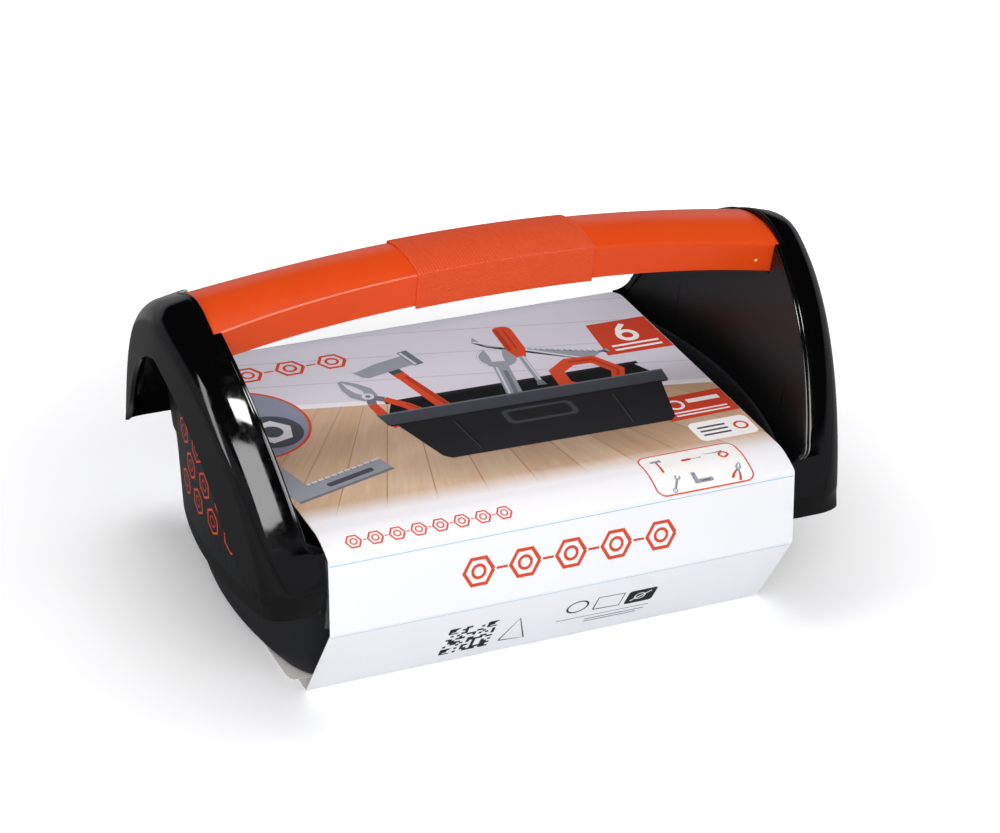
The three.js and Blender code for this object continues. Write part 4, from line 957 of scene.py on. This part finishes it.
def makeHandle():
    h = handleShape
    tree = handleTree()
    bar = growFromTree("handle_shell", tree, ruleValues(h["joinX"] - h["fitGap"], 0, 0, 161, orangePp))
    thicken(bar, h["wall"], h["edgeRound"])
    grip = growFromTree("grip_cover", tree, ruleValues(
        h["gripHalfLength"], h["gripProud"], h["gripLip"], 81, orangeGripPp))
    thicken(grip, h["gripWall"], h["gripRound"])
    # a small pip on the bar's front near its end, coloured pale as a painted highlight
    side, crease, _, depth = handleSize(h["pipX"])
    y, z = -side + h["draft"] * h["pipShare"], crease - depth * h["pipShare"]
    turns = [math.pi * i / 6 for i in range(12)]
    rings = [[(h["pipX"] + radius * math.cos(t), y - proud, z + radius * math.sin(t)) for t in turns]
             for radius, proud in pipProfile]
    pip = makePiece("gate_pip", *loft(rings), pipHighlightPp)
    return bar, grip, pip


# Cardboard sleeve: one strip folded round the box, glued to itself underneath

sleeveShape = {
    "halfLength": 134.9,
    "thickness": 0.5,
    "topHeight": 99.3,
    "bendHalfWidth": 92,
    "creaseHalfWidth": 110.6,
    "creaseHeight": 93.2,
    "lowHalfWidth": 116.9,
    "lowHeight": 52,
    "footHalfWidth": 88,
    "foldRun": 1.1,
    "bendPower": 1.6,
    "flapHalfLength": 139.9,
    "flapFront": 76.9,
    "flapRear": 39.9,
    "flapRagged": 0.35,
    "flapCornerCuts": (2.4, 0.8),
    "stations": 56,
    "flapStations": 60,
}


def sleevePath():
    # half of the section, from the middle of the top round its folds to the middle underneath
    c = sleeveShape
    run, fall = c["creaseHalfWidth"] - c["bendHalfWidth"], c["topHeight"] - c["creaseHeight"]
    path = [Vector((c["bendHalfWidth"] * i / 24, c["topHeight"])) for i in range(24)]
    path += [Vector((c["bendHalfWidth"] + run * i / 14, c["topHeight"] - fall * (i / 14) ** c["bendPower"]))
             for i in range(14)]
    corners = [Vector((c["creaseHalfWidth"], c["creaseHeight"])), Vector((c["lowHalfWidth"], c["lowHeight"])),
               Vector((c["footHalfWidth"], 0)), Vector((0, 0))]
    for here, after in zip(corners, corners[1:]):
        start = here + (path[-1] - here).normalized() * c["foldRun"]
        end = here + (after - here).normalized() * c["foldRun"]
        before = path[-1]
        path += [before.lerp(start, i / 8) for i in range(1, 8)]
        for i in range(7):
            t = i / 6
            path.append((1 - t) ** 2 * start + 2 * t * (1 - t) * here + t ** 2 * end)
    last = path[-1]
    return path + [last.lerp(corners[-1], i / 6) for i in range(1, 7)]


cardPath = sleevePath()
cardLengths = [0]
for before, after in zip(cardPath, cardPath[1:]):
    cardLengths.append(cardLengths[-1] + (after - before).length)


def cardPoint(x, v, lift):
    # v runs over the sleeve from the middle of its top, rear positive, front negative
    length = min(abs(v), cardLengths[-1])
    i = min(max(bisect.bisect_left(cardLengths, length), 1), len(cardPath) - 1)
    share = (length - cardLengths[i - 1]) / (cardLengths[i] - cardLengths[i - 1])
    here = cardPath[i - 1].lerp(cardPath[i], share)
    along = (cardPath[i] - cardPath[i - 1]).normalized()
    y, z = here + Vector((-along.y, along.x)) * lift
    return x, math.copysign(y, v) if v else 0, max(z, 0)


def makeSleeve():
    c, last = sleeveShape, sleeveShape["stations"]
    stations = [c["halfLength"] * (2 * i / last - 1) for i in range(last + 1)]
    ways = cardLengths + [-v for v in reversed(cardLengths[1:-1])]
    count = len(ways)
    rings = [[cardPoint(x, -v, lift) for v in ways] for lift in (0, -c["thickness"]) for x in stations]
    points = [p for ring in rings for p in ring]
    faces = []
    for skin in range(2):
        for i in range(last):
            for j in range(count):
                k, base = (j + 1) % count, (skin * (last + 1) + i) * count
                faces.append((base + j, base + k, base + count + k, base + count + j))
    for i in (0, last):
        for j in range(count):
            k, base, inside = (j + 1) % count, i * count, (last + 1 + i) * count
            faces.append((base + j, base + k, inside + k, inside + j))
    sleeve = makePiece("sleeve_card", points, faces, printedBoard, angle=24)
    sleeve.data.materials.append(plainBoard)
    for i, face in enumerate(sleeve.data.polygons):
        face.material_index = 0 if i < last * count else 1
    return sleeve


def makeFlap():
    # the glued end of the strip, whose left edge shows under the tray's corner
    c, last = sleeveShape, sleeveShape["flapStations"]
    rng = random.Random(7)
    across = [-c["flapFront"] + i * (c["flapRear"] + c["flapFront"]) / last for i in range(last + 1)]
    left = [(-c["flapHalfLength"] + rng.uniform(0, c["flapRagged"]), y) for y in across]
    for i, cut in enumerate(c["flapCornerCuts"]):
        left[i] = (left[i][0] + cut, left[i][1])
    outline = left + [(c["flapHalfLength"], y) for y in reversed(across)]
    points = [(x, y, z) for z in (c["thickness"], 2 * c["thickness"]) for x, y in outline]
    count = len(outline)
    faces = [tuple(reversed(range(count))), tuple(range(count, 2 * count))]
    faces += [(i, (i + 1) % count, count + (i + 1) % count, count + i) for i in range(count)]
    return makePiece("sleeve_flap", points, faces, plainBoard)


# Print: flat shapes in x and v, cut at the bends and laid on the card. Each shape is an ink and an outline.

inkLift, inkStep = 0.03, 0.004
inks = {
    "orange": "#DB4A26",
    "deepOrange": "#B53A1C",
    "red": "#D5432A",
    "white": "#FFFFFF",
    "pale": "#D9DBE2",
    "grey": "#9AA0AA",
    "midGrey": "#737983",
    "slate": "#4A4F58",
    "dark": "#24262B",
    "black": "#131417",
    "blue": "#9CCBE6",
    "haze": "#8C93A8",
}


def arc(x, v, radius, start=0, end=360, steps=28):
    turns = [math.radians(mix(start, end, i / steps)) for i in range(steps + 1)]
    return [(x + radius * math.cos(t), v + radius * math.sin(t)) for t in turns]


def ribbon(path, width, endWidth=None):
    # the outline of a line of one width, or of a width that changes evenly
    last = len(path) - 1
    sides = ([], [])
    for i, (x, v) in enumerate(path):
        before, after = path[max(i - 1, 0)], path[min(i + 1, last)]
        dx, dv = after[0] - before[0], after[1] - before[1]
        length = math.hypot(dx, dv) or 1
        half = mix(width, endWidth if endWidth is not None else width, i / last) / 2
        sides[0].append((x - dv / length * half, v + dx / length * half))
        sides[1].append((x + dv / length * half, v - dx / length * half))
    return sides[0] + sides[1][::-1]


def roundBox(x0, v0, x1, v1, radius):
    outline = []
    for x, v, start in ((x1 - radius, v1 - radius, 0), (x0 + radius, v1 - radius, 90),
                        (x0 + radius, v0 + radius, 180), (x1 - radius, v0 + radius, 270)):
        outline += arc(x, v, radius, start, start + 90, 6)
    return outline


def hexagon(x, v, radius, turn=0):
    return arc(x, v, radius, turn, turn + 360, 6)[:-1]


def lay(shapes, x, v, size=1, turn=0):
    s, k = math.sin(math.radians(turn)) * size, math.cos(math.radians(turn)) * size
    return [(ink, [(x + a * k - b * s, v + a * s + b * k) for a, b in outline]) for ink, outline in shapes]


def paint(rows):
    # A row is an ink and a path. With a width, or two, the path is drawn as a line; without, it is filled.
    return [(ink, ribbon(path, *widths) if widths else path) for ink, path, *widths in rows]


def pliersRows():
    rows = []
    for side in (-1, 1):
        arm = [(side * 18, 0), (side * 15, 24), (side * 8, 46), (-side * 2, 60)]
        jaw = [(-side * 3, 58), (-side * 9, 70), (-side * 7, 84), (-side * 1, 98)]
        rows += [("grey", jaw, 13, 3), ("midGrey", arm[2:], 9), ("orange", arm[:3], 13, 9),
                 ("deepOrange", [(side * 21, 2), (side * 17, 26)], 2)]
    return rows + [("pale", arc(0, 60, 6)[:-1]), ("midGrey", arc(0, 60, 2.6)[:-1])]


sawTeeth = [(44 - i * 4, 30 + i * 2.6) for i in range(22)]
sawGaps = [(42.6 - i * 4, 26.6 + i * 2.7) for i in range(22)]
sawEdge = [point for pair in zip(sawTeeth, sawGaps) for point in pair]
sawGrip = [(-12, -14), (18, -16), (30, 0), (22, 24), (2, 30), (-16, 22), (-22, 2), (-12, -14)]
pictureRows = {
    "hammer": [
        ("orange", [(0, 0), (0, 34), (0, 66)], 11, 8), ("deepOrange", [(3, 0), (2, 66)], 3.4),
        ("orange", [(0, 60), (0, 70)], 9), ("slate", [(0, 66), (0, 88)], 9),
        ("grey", [(-24, 74), (-20, 71), (22, 71), (22, 88), (-6, 88), (-26, 84)]),
        ("pale", [(-24, 82), (-6, 85), (22, 85), (22, 88), (-6, 88), (-26, 84)]),
        ("midGrey", [(16, 69), (24, 69), (24, 90), (16, 90)]), ("pale", [(18, 70), (18, 89)], 2),
    ],
    "driver": [
        ("orange", roundBox(-8, 0, 8, 44, 6)), ("deepOrange", [(5, 4), (5, 40)], 3),
        ("deepOrange", [(-1, 6), (-1, 38)], 1.6), ("orange", [(0, 42), (0, 52)], 14, 8),
        ("grey", [(0, 51), (0, 92)], 5), ("pale", [(-1.2, 51), (-1.2, 92)], 1.3),
        ("midGrey", [(0, 91), (0, 99)], 5, 8),
    ],
    "spanner": [
        ("grey", [(0, 6), (0, 68)], 12), ("pale", [(-3.6, 10), (-3.6, 66)], 1.6),
        ("midGrey", [(1.4, 16), (1.4, 58)], 3.4),
        ("grey", arc(0, 78, 15, 118, 422, 26) + [(5, 80), (5, 72), (-5, 72), (-5, 80)]),
        ("grey", arc(0, 2, 9.4), 6.4), ("pale", arc(0, 78, 14, 125, 230, 12), 1.4),
    ],
    "saw": [
        ("grey", [(44, 34), (20, 24), (-48, 96), (-42, 104)] + sawEdge[::-1]),
        ("pale", [(20, 27), (-46, 97)], 2.2), ("orange", sawGrip, 13), ("deepOrange", sawGrip[1:5], 3),
    ],
    "square": [
        ("grey", [(0, 0), (66, 0), (66, 15), (15, 15), (15, 44), (0, 44)]),
        ("pale", [(15, 14.2), (66, 14.2)], 1.6), ("midGrey", [(0, 1), (66, 1)], 2),
        ("slate", roundBox(24, 5, 56, 9, 1.8)), ("slate", arc(7.5, 36, 2.6)[:-1]),
    ] + [("slate", [(18 + i * 4.6, 15), (18 + i * 4.6, 12.4)], 0.5) for i in range(10)],
    "pliers": pliersRows(),
}
pictures = {name: paint(rows) for name, rows in pictureRows.items()}


def crateShapes():
    # a plain open crate seen from the front, with tools standing in it
    shapes = paint([("black", [(-84, 6), (-76, 22), (76, 22), (84, 6)]), ("dark", [(-80, 21), (80, 21)], 3)])
    for name, *place in (("saw", 44, 12, 0.72, 12), ("hammer", -46, -4, 0.86, 14),
                         ("spanner", -8, -10, 0.8, -10), ("driver", 20, 86, 0.74, 176),
                         ("pliers", -72, -2, 0.6, 24)):
        shapes += lay(pictures[name], *place)
    shapes += paint([
        ("dark", [(-72, -44), (-68, -48), (68, -48), (72, -44), (86, 6), (-86, 6)]),
        ("slate", [(-88, -4), (88, -4), (90, 9), (-90, 9)]), ("midGrey", [(-90, 8.4), (90, 8.4)], 1.4),
        ("black", [(-87, -4.6), (87, -4.6)], 1.4), ("slate", roundBox(-22, -24, 22, -8, 4)),
        ("dark", roundBox(-19, -21.5, 19, -10.5, 3)),
    ])
    for x in (-50, 50):
        shapes += paint([("black", [(x, -10), (x * 0.94, -44)], 1.2),
                         ("slate", [(x - 1.2, -10), (x * 0.94 - 1.2, -44)], 0.6)])
    return shapes


def nutRow(x0, x1, v, radius, count, ink):
    rows = []
    step = (x1 - x0) / (count - 1)
    for i in range(count):
        x = x0 + step * i
        nut = hexagon(x, v, radius)
        rows += [(ink, nut + nut[:1], radius * 0.26), (ink, arc(x, v, radius * 0.42), radius * 0.2)]
        if i < count - 1:
            rows.append((ink, [(x + radius * 1.2, v), (x + step - radius * 1.2, v)], radius * 0.16))
    return paint(rows)


def codeBlock(x0, v0, cell):
    # a square of random cells, with a ring in three of its corners
    rng = random.Random(21)
    count, ring, filled = 15, 4, 0.46
    rows = []
    for i in range(count):
        for j in range(count):
            high = j >= count - ring
            inRing = (i < ring and (j < ring or high)) or (i >= count - ring and high)
            if not inRing and rng.random() < filled:
                x, v = x0 + i * cell, v0 + j * cell
                rows.append(("dark", [(x, v), (x + cell, v), (x + cell, v + cell), (x, v + cell)]))
    for x, v in ((x0 + 2.8, v0 + 25.2), (x0 + 2.8, v0 + 2.8), (x0 + 25.1, v0 + 25.2)):
        rows += [("dark", roundBox(x - 2.5, v - 2.5, x + 2.5, v + 2.5, 0.2), 1.2),
                 ("dark", roundBox(x - 1, v - 1, x + 1, v + 1, 0.2))]
    return paint(rows)


def printGroups():
    # each group is a list of layers, painted one over the other
    guides = paint([("blue", [(-134, v), (134, v + 0.6)], 0.45) for v in (-115, -155.6)]
                   + [("blue", [(-134, v), (134, v)], 0.45) for v in (115, 155.6)])
    # round window at the left edge, with a nut in it, and a set square on the floor
    window = [
        [("haze", arc(-131, 21, 36, 0, 360, 48)[:-1])],
        [("slate", arc(-118, 10, 17, 0, 360, 36)[:-1])],
        [("pale", hexagon(-118, 10, 12, 15)), ("orange", ribbon(arc(-131, 21, 36.5, 0, 360, 60), 1.6))],
        [("slate", arc(-118, 10, 6, 0, 360, 24)[:-1])],
    ]
    square = [[shape] for shape in lay(pictures["square"], -131, -64, 0.94, 16)]
    crate = [[shape] for shape in lay(crateShapes(), 28, -2, 0.96, -1)]
    # tabs at the right edge, with a figure 6 and plain bars
    tabs = [paint(rows) for rows in (
        [("red", [(97, 66), (134.6, 66), (134.6, 28), (93, 29)]),
         ("red", [(94, -26), (134.6, -25), (134.6, -50), (91, -51)]),
         ("white", roundBox(97, -76, 133, -56, 4))],
        [("white", arc(115, 48, 5.1), 3.4)],
        [("white", [(117.72, 61.26), (112.62, 55.82), (109.9, 49.02)], 3.4)]
        + [("white", [(100, v), (130, v)], 2) for v in (38, 33.4)]
        + [("white", arc(102, -35, 4.4), 1.8), ("white", [(110, -33), (130, -33)], 4)]
        + [("white", [(97, v), (130, v + 0.2)], 1.4) for v in (-43.4, -46.6)]
        + [("slate", [(101, v), (118, v)], 1.7) for v in (-62, -66, -70)]
        + [("orange", arc(126, -66, 3.6), 1.5)])]
    # small pictures of the tools in a frame
    frameLine = roundBox(53, -112, 111, -81, 5)
    icons = [[("white", frameLine)], paint([("orange", frameLine + frameLine[:1], 0.9)])]
    for name, *place in (("hammer", 62, -97, 0.13), ("driver", 76, -90, 0.12, -90),
                         ("saw", 101, -92, 0.1, 40), ("spanner", 63, -110, 0.12, -30),
                         ("square", 76, -108, 0.17), ("pliers", 100, -110, 0.12, -30)):
        icons += [[shape] for shape in lay(pictures[name], *place)]
    # rows of nuts in place of wording
    rows = [nutRow(-118, -34, -103, 4.2, 8, "orange") + nutRow(-52, 54, -133.5, 8.4, 5, "orange")
            + nutRow(-108, -58, 73, 8, 3, "orange")]
    # small marks low on the front
    marks = paint([("dark", [(-28, -200), (-12.6, -202), (-21, -178), (-28, -200)], 1)])
    marks += codeBlock(-62, -203, 1.86)
    marks += paint([
        ("dark", [(4, -192), (60, -193)], 0.5), ("dark", [(22, -196), (58, -196.6)], 0.7),
        ("dark", [(22, -198.4), (54, -199)], 0.7), ("dark", arc(13, -179, 6), 1.2),
        ("dark", [(24, -186), (40, -187), (40, -174), (24, -173), (24, -186)], 0.9),
        ("dark", roundBox(43, -188, 60, -174, 2))])
    low = [marks, paint([("white", [(46, -185), (57, -177)], 1), ("white", arc(51, -181, 3), 0.8)])]
    return [[guides], window, square, crate, tabs, icons, rows, low]


def makePrint(name, groups, point, cuts, clip, material):
    mesh = bpy.data.meshes.new(name)
    shell = bmesh.new()
    colour = shell.verts.layers.float_color.new("ink")
    shapes = [(number, ink, outline) for group in groups for number, layer in enumerate(group)
              for ink, outline in layer]
    for number, ink, outline in shapes:
        corners = [shell.verts.new((x, v, number + 1)) for x, v in outline]
        for corner in corners:
            corner[colour] = linear(inks[ink])
        shell.faces.new(corners)
    shell.normal_update()
    bmesh.ops.triangulate(shell, faces=shell.faces, ngon_method="EAR_CLIP")
    for side, limit in clip:
        everything = shell.verts[:] + shell.edges[:] + shell.faces[:]
        bmesh.ops.bisect_plane(shell, geom=everything, plane_co=(limit, 0, 0), plane_no=(side, 0, 0),
                               clear_outer=True)
    for cut in cuts:
        everything = shell.verts[:] + shell.edges[:] + shell.faces[:]
        bmesh.ops.bisect_plane(shell, geom=everything, plane_co=(0, cut, 0), plane_no=(0, 1, 0))
    shell.normal_update()
    for face in shell.faces:
        if face.normal.z < 0:
            face.normal_flip()
    for corner in shell.verts:
        x, v, number = corner.co
        corner.co = Vector(point(x, v, inkLift + inkStep * number)) * mm
    for face in shell.faces:
        face.smooth = True
    shell.to_mesh(mesh)
    shell.free()
    mesh.materials.append(material)
    return addObject(name, mesh)


sleeve = makeSleeve()
flap = makeFlap()
# the ink is cut where the card bends: along the soft bend at the top's edge, and round each fold
bendStep, bendCuts = 2.4, 9
foldSpans = ((108, 116), (150, 158))
printHalfLength = 134.7
bends = [sleeveShape["bendHalfWidth"] + bendStep * i for i in range(bendCuts)]
bends += [length for length in cardLengths if any(low < length < high for low, high in foldSpans)]
cuts = [side * bend for bend in bends for side in (-1, 1)]
sleevePrint = makePrint("sleeve_print", printGroups(), cardPoint, cuts,
                        [(side, side * printHalfLength) for side in (-1, 1)], printingInk)
for piece in (sleeve, flap, sleevePrint):
    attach(piece, "box")
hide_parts("cardboard_sleeve")
print("sleeve made")


# Tray: a tapered tub with bulged ends and rounded corners, as one closed skin

trayShape = {
    "foot": 1.3,
    "rim": 90.4,
    "footHalfWidth": 83,
    "rimHalfWidth": 105.9,
    "footEnd": 144.8,
    "footBulge": 14.47,
    "shieldFoot": capShape["shieldFoot"],
    "shieldGap": 0.3,
    "cornerStart": 62,
    "cornerRun": 16,
    "rimRun": 31,
    "wall": 2.4,
    "rimRound": 0.8,
    "rimCut": (0.22, 0.25),
    "footRadius": 4,
    "footSlantShare": 0.7,
    "insideSlantShare": 0.5,
}


def trayEnd(y, z):
    # the tray's end follows the cap's end wall from inside, and runs in to its own foot below the shield
    t = trayShape
    inShield = capShape["wall"] + t["shieldGap"]
    up = min((z - t["foot"]) / (t["shieldFoot"] - t["foot"]), 1)
    beside = wallX(y, max(z, t["shieldFoot"])) - inShield
    below = wallX(y, t["shieldFoot"]) - inShield + capShape["wallLeanShare"] * (z - t["shieldFoot"])
    foot = t["footEnd"] - t["footBulge"] * (y / t["footHalfWidth"]) ** 2
    return mix(foot, min(beside, below), up)


def trayRing(z, inset):
    t = trayShape
    rise = (z - t["foot"]) / (t["rim"] - t["foot"])
    half = mix(t["footHalfWidth"], t["rimHalfWidth"], rise) - inset
    start = t["cornerStart"] - inset
    slope = (trayEnd(start + 0.1, z) - trayEnd(start, z)) / 0.1
    startX = trayEnd(start, z) - inset
    bend = startX + slope * (half - start)
    run = mix(t["cornerRun"], t["rimRun"], rise)
    quarter = [(trayEnd(start * i / 14, z) - inset, start * i / 14) for i in range(15)]
    for i in range(1, 25):
        a, b, c = (1 - i / 24) ** 2, 2 * i / 24 * (1 - i / 24), (i / 24) ** 2
        quarter.append((a * startX + b * bend + c * (bend - run), a * start + b * half + c * half))
    rightHalf = [(x, -y) for x, y in quarter[:0:-1]] + quarter
    return [(x, y, z) for x, y in rightHalf] + [(-x, y, z) for x, y in rightHalf[::-1]]


def makeTray():
    # up the outside, over the rim and down the inside, as heights and how far in from the outline
    t = trayShape
    rim, wall, radius = t["rim"], t["wall"], t["footRadius"]
    shoulder = rim - t["rimRound"]
    aside, down = t["rimCut"]
    outSlant, inSlant = radius * t["footSlantShare"], radius * t["insideSlantShare"]
    levels = [(t["foot"], outSlant)]
    for i in range(1, 7):
        turn = math.pi / 2 * i / 6
        levels.append((t["foot"] + radius * (1 - math.cos(turn)), outSlant * (1 - math.sin(turn))))
    levels += [(mix(t["foot"] + radius, t["shieldFoot"], i / 4), 0) for i in range(1, 5)]
    levels += [(mix(t["shieldFoot"], shoulder, i / 8), 0) for i in range(1, 9)]
    levels += [(rim - down, aside), (rim, t["rimRound"])]
    levels += [(rim, wall - t["rimRound"]), (rim - down, wall - aside)]
    levels += [(mix(shoulder, t["shieldFoot"], i / 8), wall) for i in range(9)]
    floor = t["foot"] + wall
    levels += [(mix(t["shieldFoot"], floor + radius, i / 4), wall) for i in range(1, 5)]
    for i in range(1, 5):
        turn = math.pi / 2 * i / 4
        levels.append((floor + radius * (1 - math.sin(turn)), wall + inSlant * (1 - math.cos(turn))))
    return makePiece("tray_tub", *loft([trayRing(z, inset) for z, inset in levels]), satinBlackPp, angle=30)


# Labels on the shields, with a plain pattern of nuts in three staggered rows

labelShape = {
    "faceLift": 0.9,
    "rows": (64, 80, 96),
    "perRow": 4,
    "firstY": -33,
    "pitch": 22,
    "nutRadius": 7.4,
    "nutLine": 1.5,
    "boreRadius": 3,
    "boreLine": 1.1,
    "cutFrom": -40,
    "cutStep": 5,
    "cuts": 17,
}


def labelPoint(side):
    def point(y, z, lift):
        return side * (wallX(y, z) + labelShape["faceLift"] + lift), side * y, z
    return point


def labelLayers():
    c = labelShape
    rows = []
    for number, z in enumerate(c["rows"]):
        odd = number % 2
        for i in range(c["perRow"] - odd):
            y = c["firstY"] + c["pitch"] * (i + odd / 2)
            nut = hexagon(y, z, c["nutRadius"], 30)
            rows += [("orange", nut + nut[:1], c["nutLine"]),
                     ("deepOrange", arc(y, z, c["boreRadius"]), c["boreLine"])]
    return [[paint(rows)]]


def makeTongue(side):
    # the bar's top goes on into the cap, thicker, under the crown
    h = handleShape
    rings = []
    for along in (-h["tongueStart"], -h["fitGap"], 2, h["tongueEnd"]):
        x = h["joinX"] + along
        inBar = along < 0
        width, crease, dome, depth = handleSize(x)
        ring = []
        for inset, order in ((0, 1), (h["tongueSkin"] if inBar else h["tongueThick"], -1)):
            half = []
            for i in range(9):
                if inBar:
                    reach = (width - h["tongueInBar"] - inset) * i / 8
                    half.append((reach, crease + dome * (1 - (i / 8) ** 2) - h["tongueInBar"] - inset))
                else:
                    reach = (h["halfWidth"] - h["tongueInCap"] - inset) * i / 8
                    half.append((reach, hoodTop(reach, 0) - h["tongueInCap"] - inset))
            half.append((half[-1][0] - h["draft"], crease - depth))
            ring += ([(-y, z) for y, z in half[:0:-1]] + half)[::order]
        rings.append([(side * x, y, z) for y, z in ring])
    return makePiece("tongue_" + ("right" if side > 0 else "left"), *loft(rings), orangePp)


def makeLedge():
    # the shelf inside the cap's corners that closes the way past the tray's rounded corners
    c = capShape
    level = c["webFoot"] + 1
    rim = sorted((y, x) for x, y, z in trayRing(level, 0) if x > 0 and y > 0)
    outline = {1: [], -1: []}
    for i in range(24):
        y = mix(c["shieldHalfWidth"] - 1, c["ledgeHalfWidth"], i / 23)
        near = [x for v, x in rim if v >= y]
        inner = max((near[0] if near else 0) + c["sink"], c["footX"] + 2)
        outline[1].append((inner, y))
        outline[-1].append((max(wallX(y, level) - c["wall"] + c["sink"], inner + 0.5), y))
    ring = outline[1] + outline[-1][::-1]
    points, faces = [], []
    for side in (1, -1):
        corner, skin = loft([[(x, side * y, z) for x, y in ring] for z in (level, level + c["ledgeThick"])])
        faces += [tuple(len(points) + i for i in face) for face in skin]
        points += corner
    return makePiece("cap_ledge_right", points, faces, glossBlackAbs)


cap = makeCap()
capLeft = mirrorX(cap, "cap_left")
ledge = makeLedge()
ledgeLeft = mirrorX(ledge, "cap_ledge_left")
bar, grip, pip = makeHandle()
tongues = [makeTongue(side) for side in (-1, 1)]
tray = makeTray()
labelCuts = [labelShape["cutFrom"] + labelShape["cutStep"] * i for i in range(labelShape["cuts"])]
labels = [makePrint("label_print_" + name, labelLayers(), labelPoint(side), labelCuts, (), labelInk)
          for name, side in (("left", -1), ("right", 1))]
dressed = [
    (cap, "cap_plastic", ["end_cap_right"]),
    (capLeft, "cap_plastic", ["end_cap_left"]),
    (ledge, "cap_plastic", []),
    (ledgeLeft, "cap_plastic", []),
    (bar, "handle_plastic", ["handle_bar"]),
    (grip, "grip_plastic", ["handle_grip"]),
    (pip, "handle_plastic", []),
    (tongues[0], "handle_plastic", []),
    (tongues[1], "handle_plastic", []),
    (tray, "tray_plastic", ["tray"]),
    (labels[0], "label_film", []),
    (labels[1], "label_film", []),
]
for piece, slotName, nodes in dressed:
    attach(piece, "box")
    if nodes:
        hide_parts(*nodes)
print("caps, handle, tray and labels made")


nodeMaterials = {
    "end_label_left": labelFilm,
    "end_label_right": labelFilm,
    "front_band": slateGreyPp,
    "rear_band": slateGreyPp,
    "front_badge": slateGreyPp,
    "rear_badge": slateGreyPp,
    "hammer_handle": orangePp,
    "screwdriver_handle": orangePp,
    "saw_handle": orangePp,
    "pliers_fixed_grip": orangePp,
    "pliers_moving_grip": orangePp,
}
for name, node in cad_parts.items():
    if not node.hide_render:
        node.data.materials.clear()
        node.data.materials.append(nodeMaterials.get(name, toolGreyAbs))
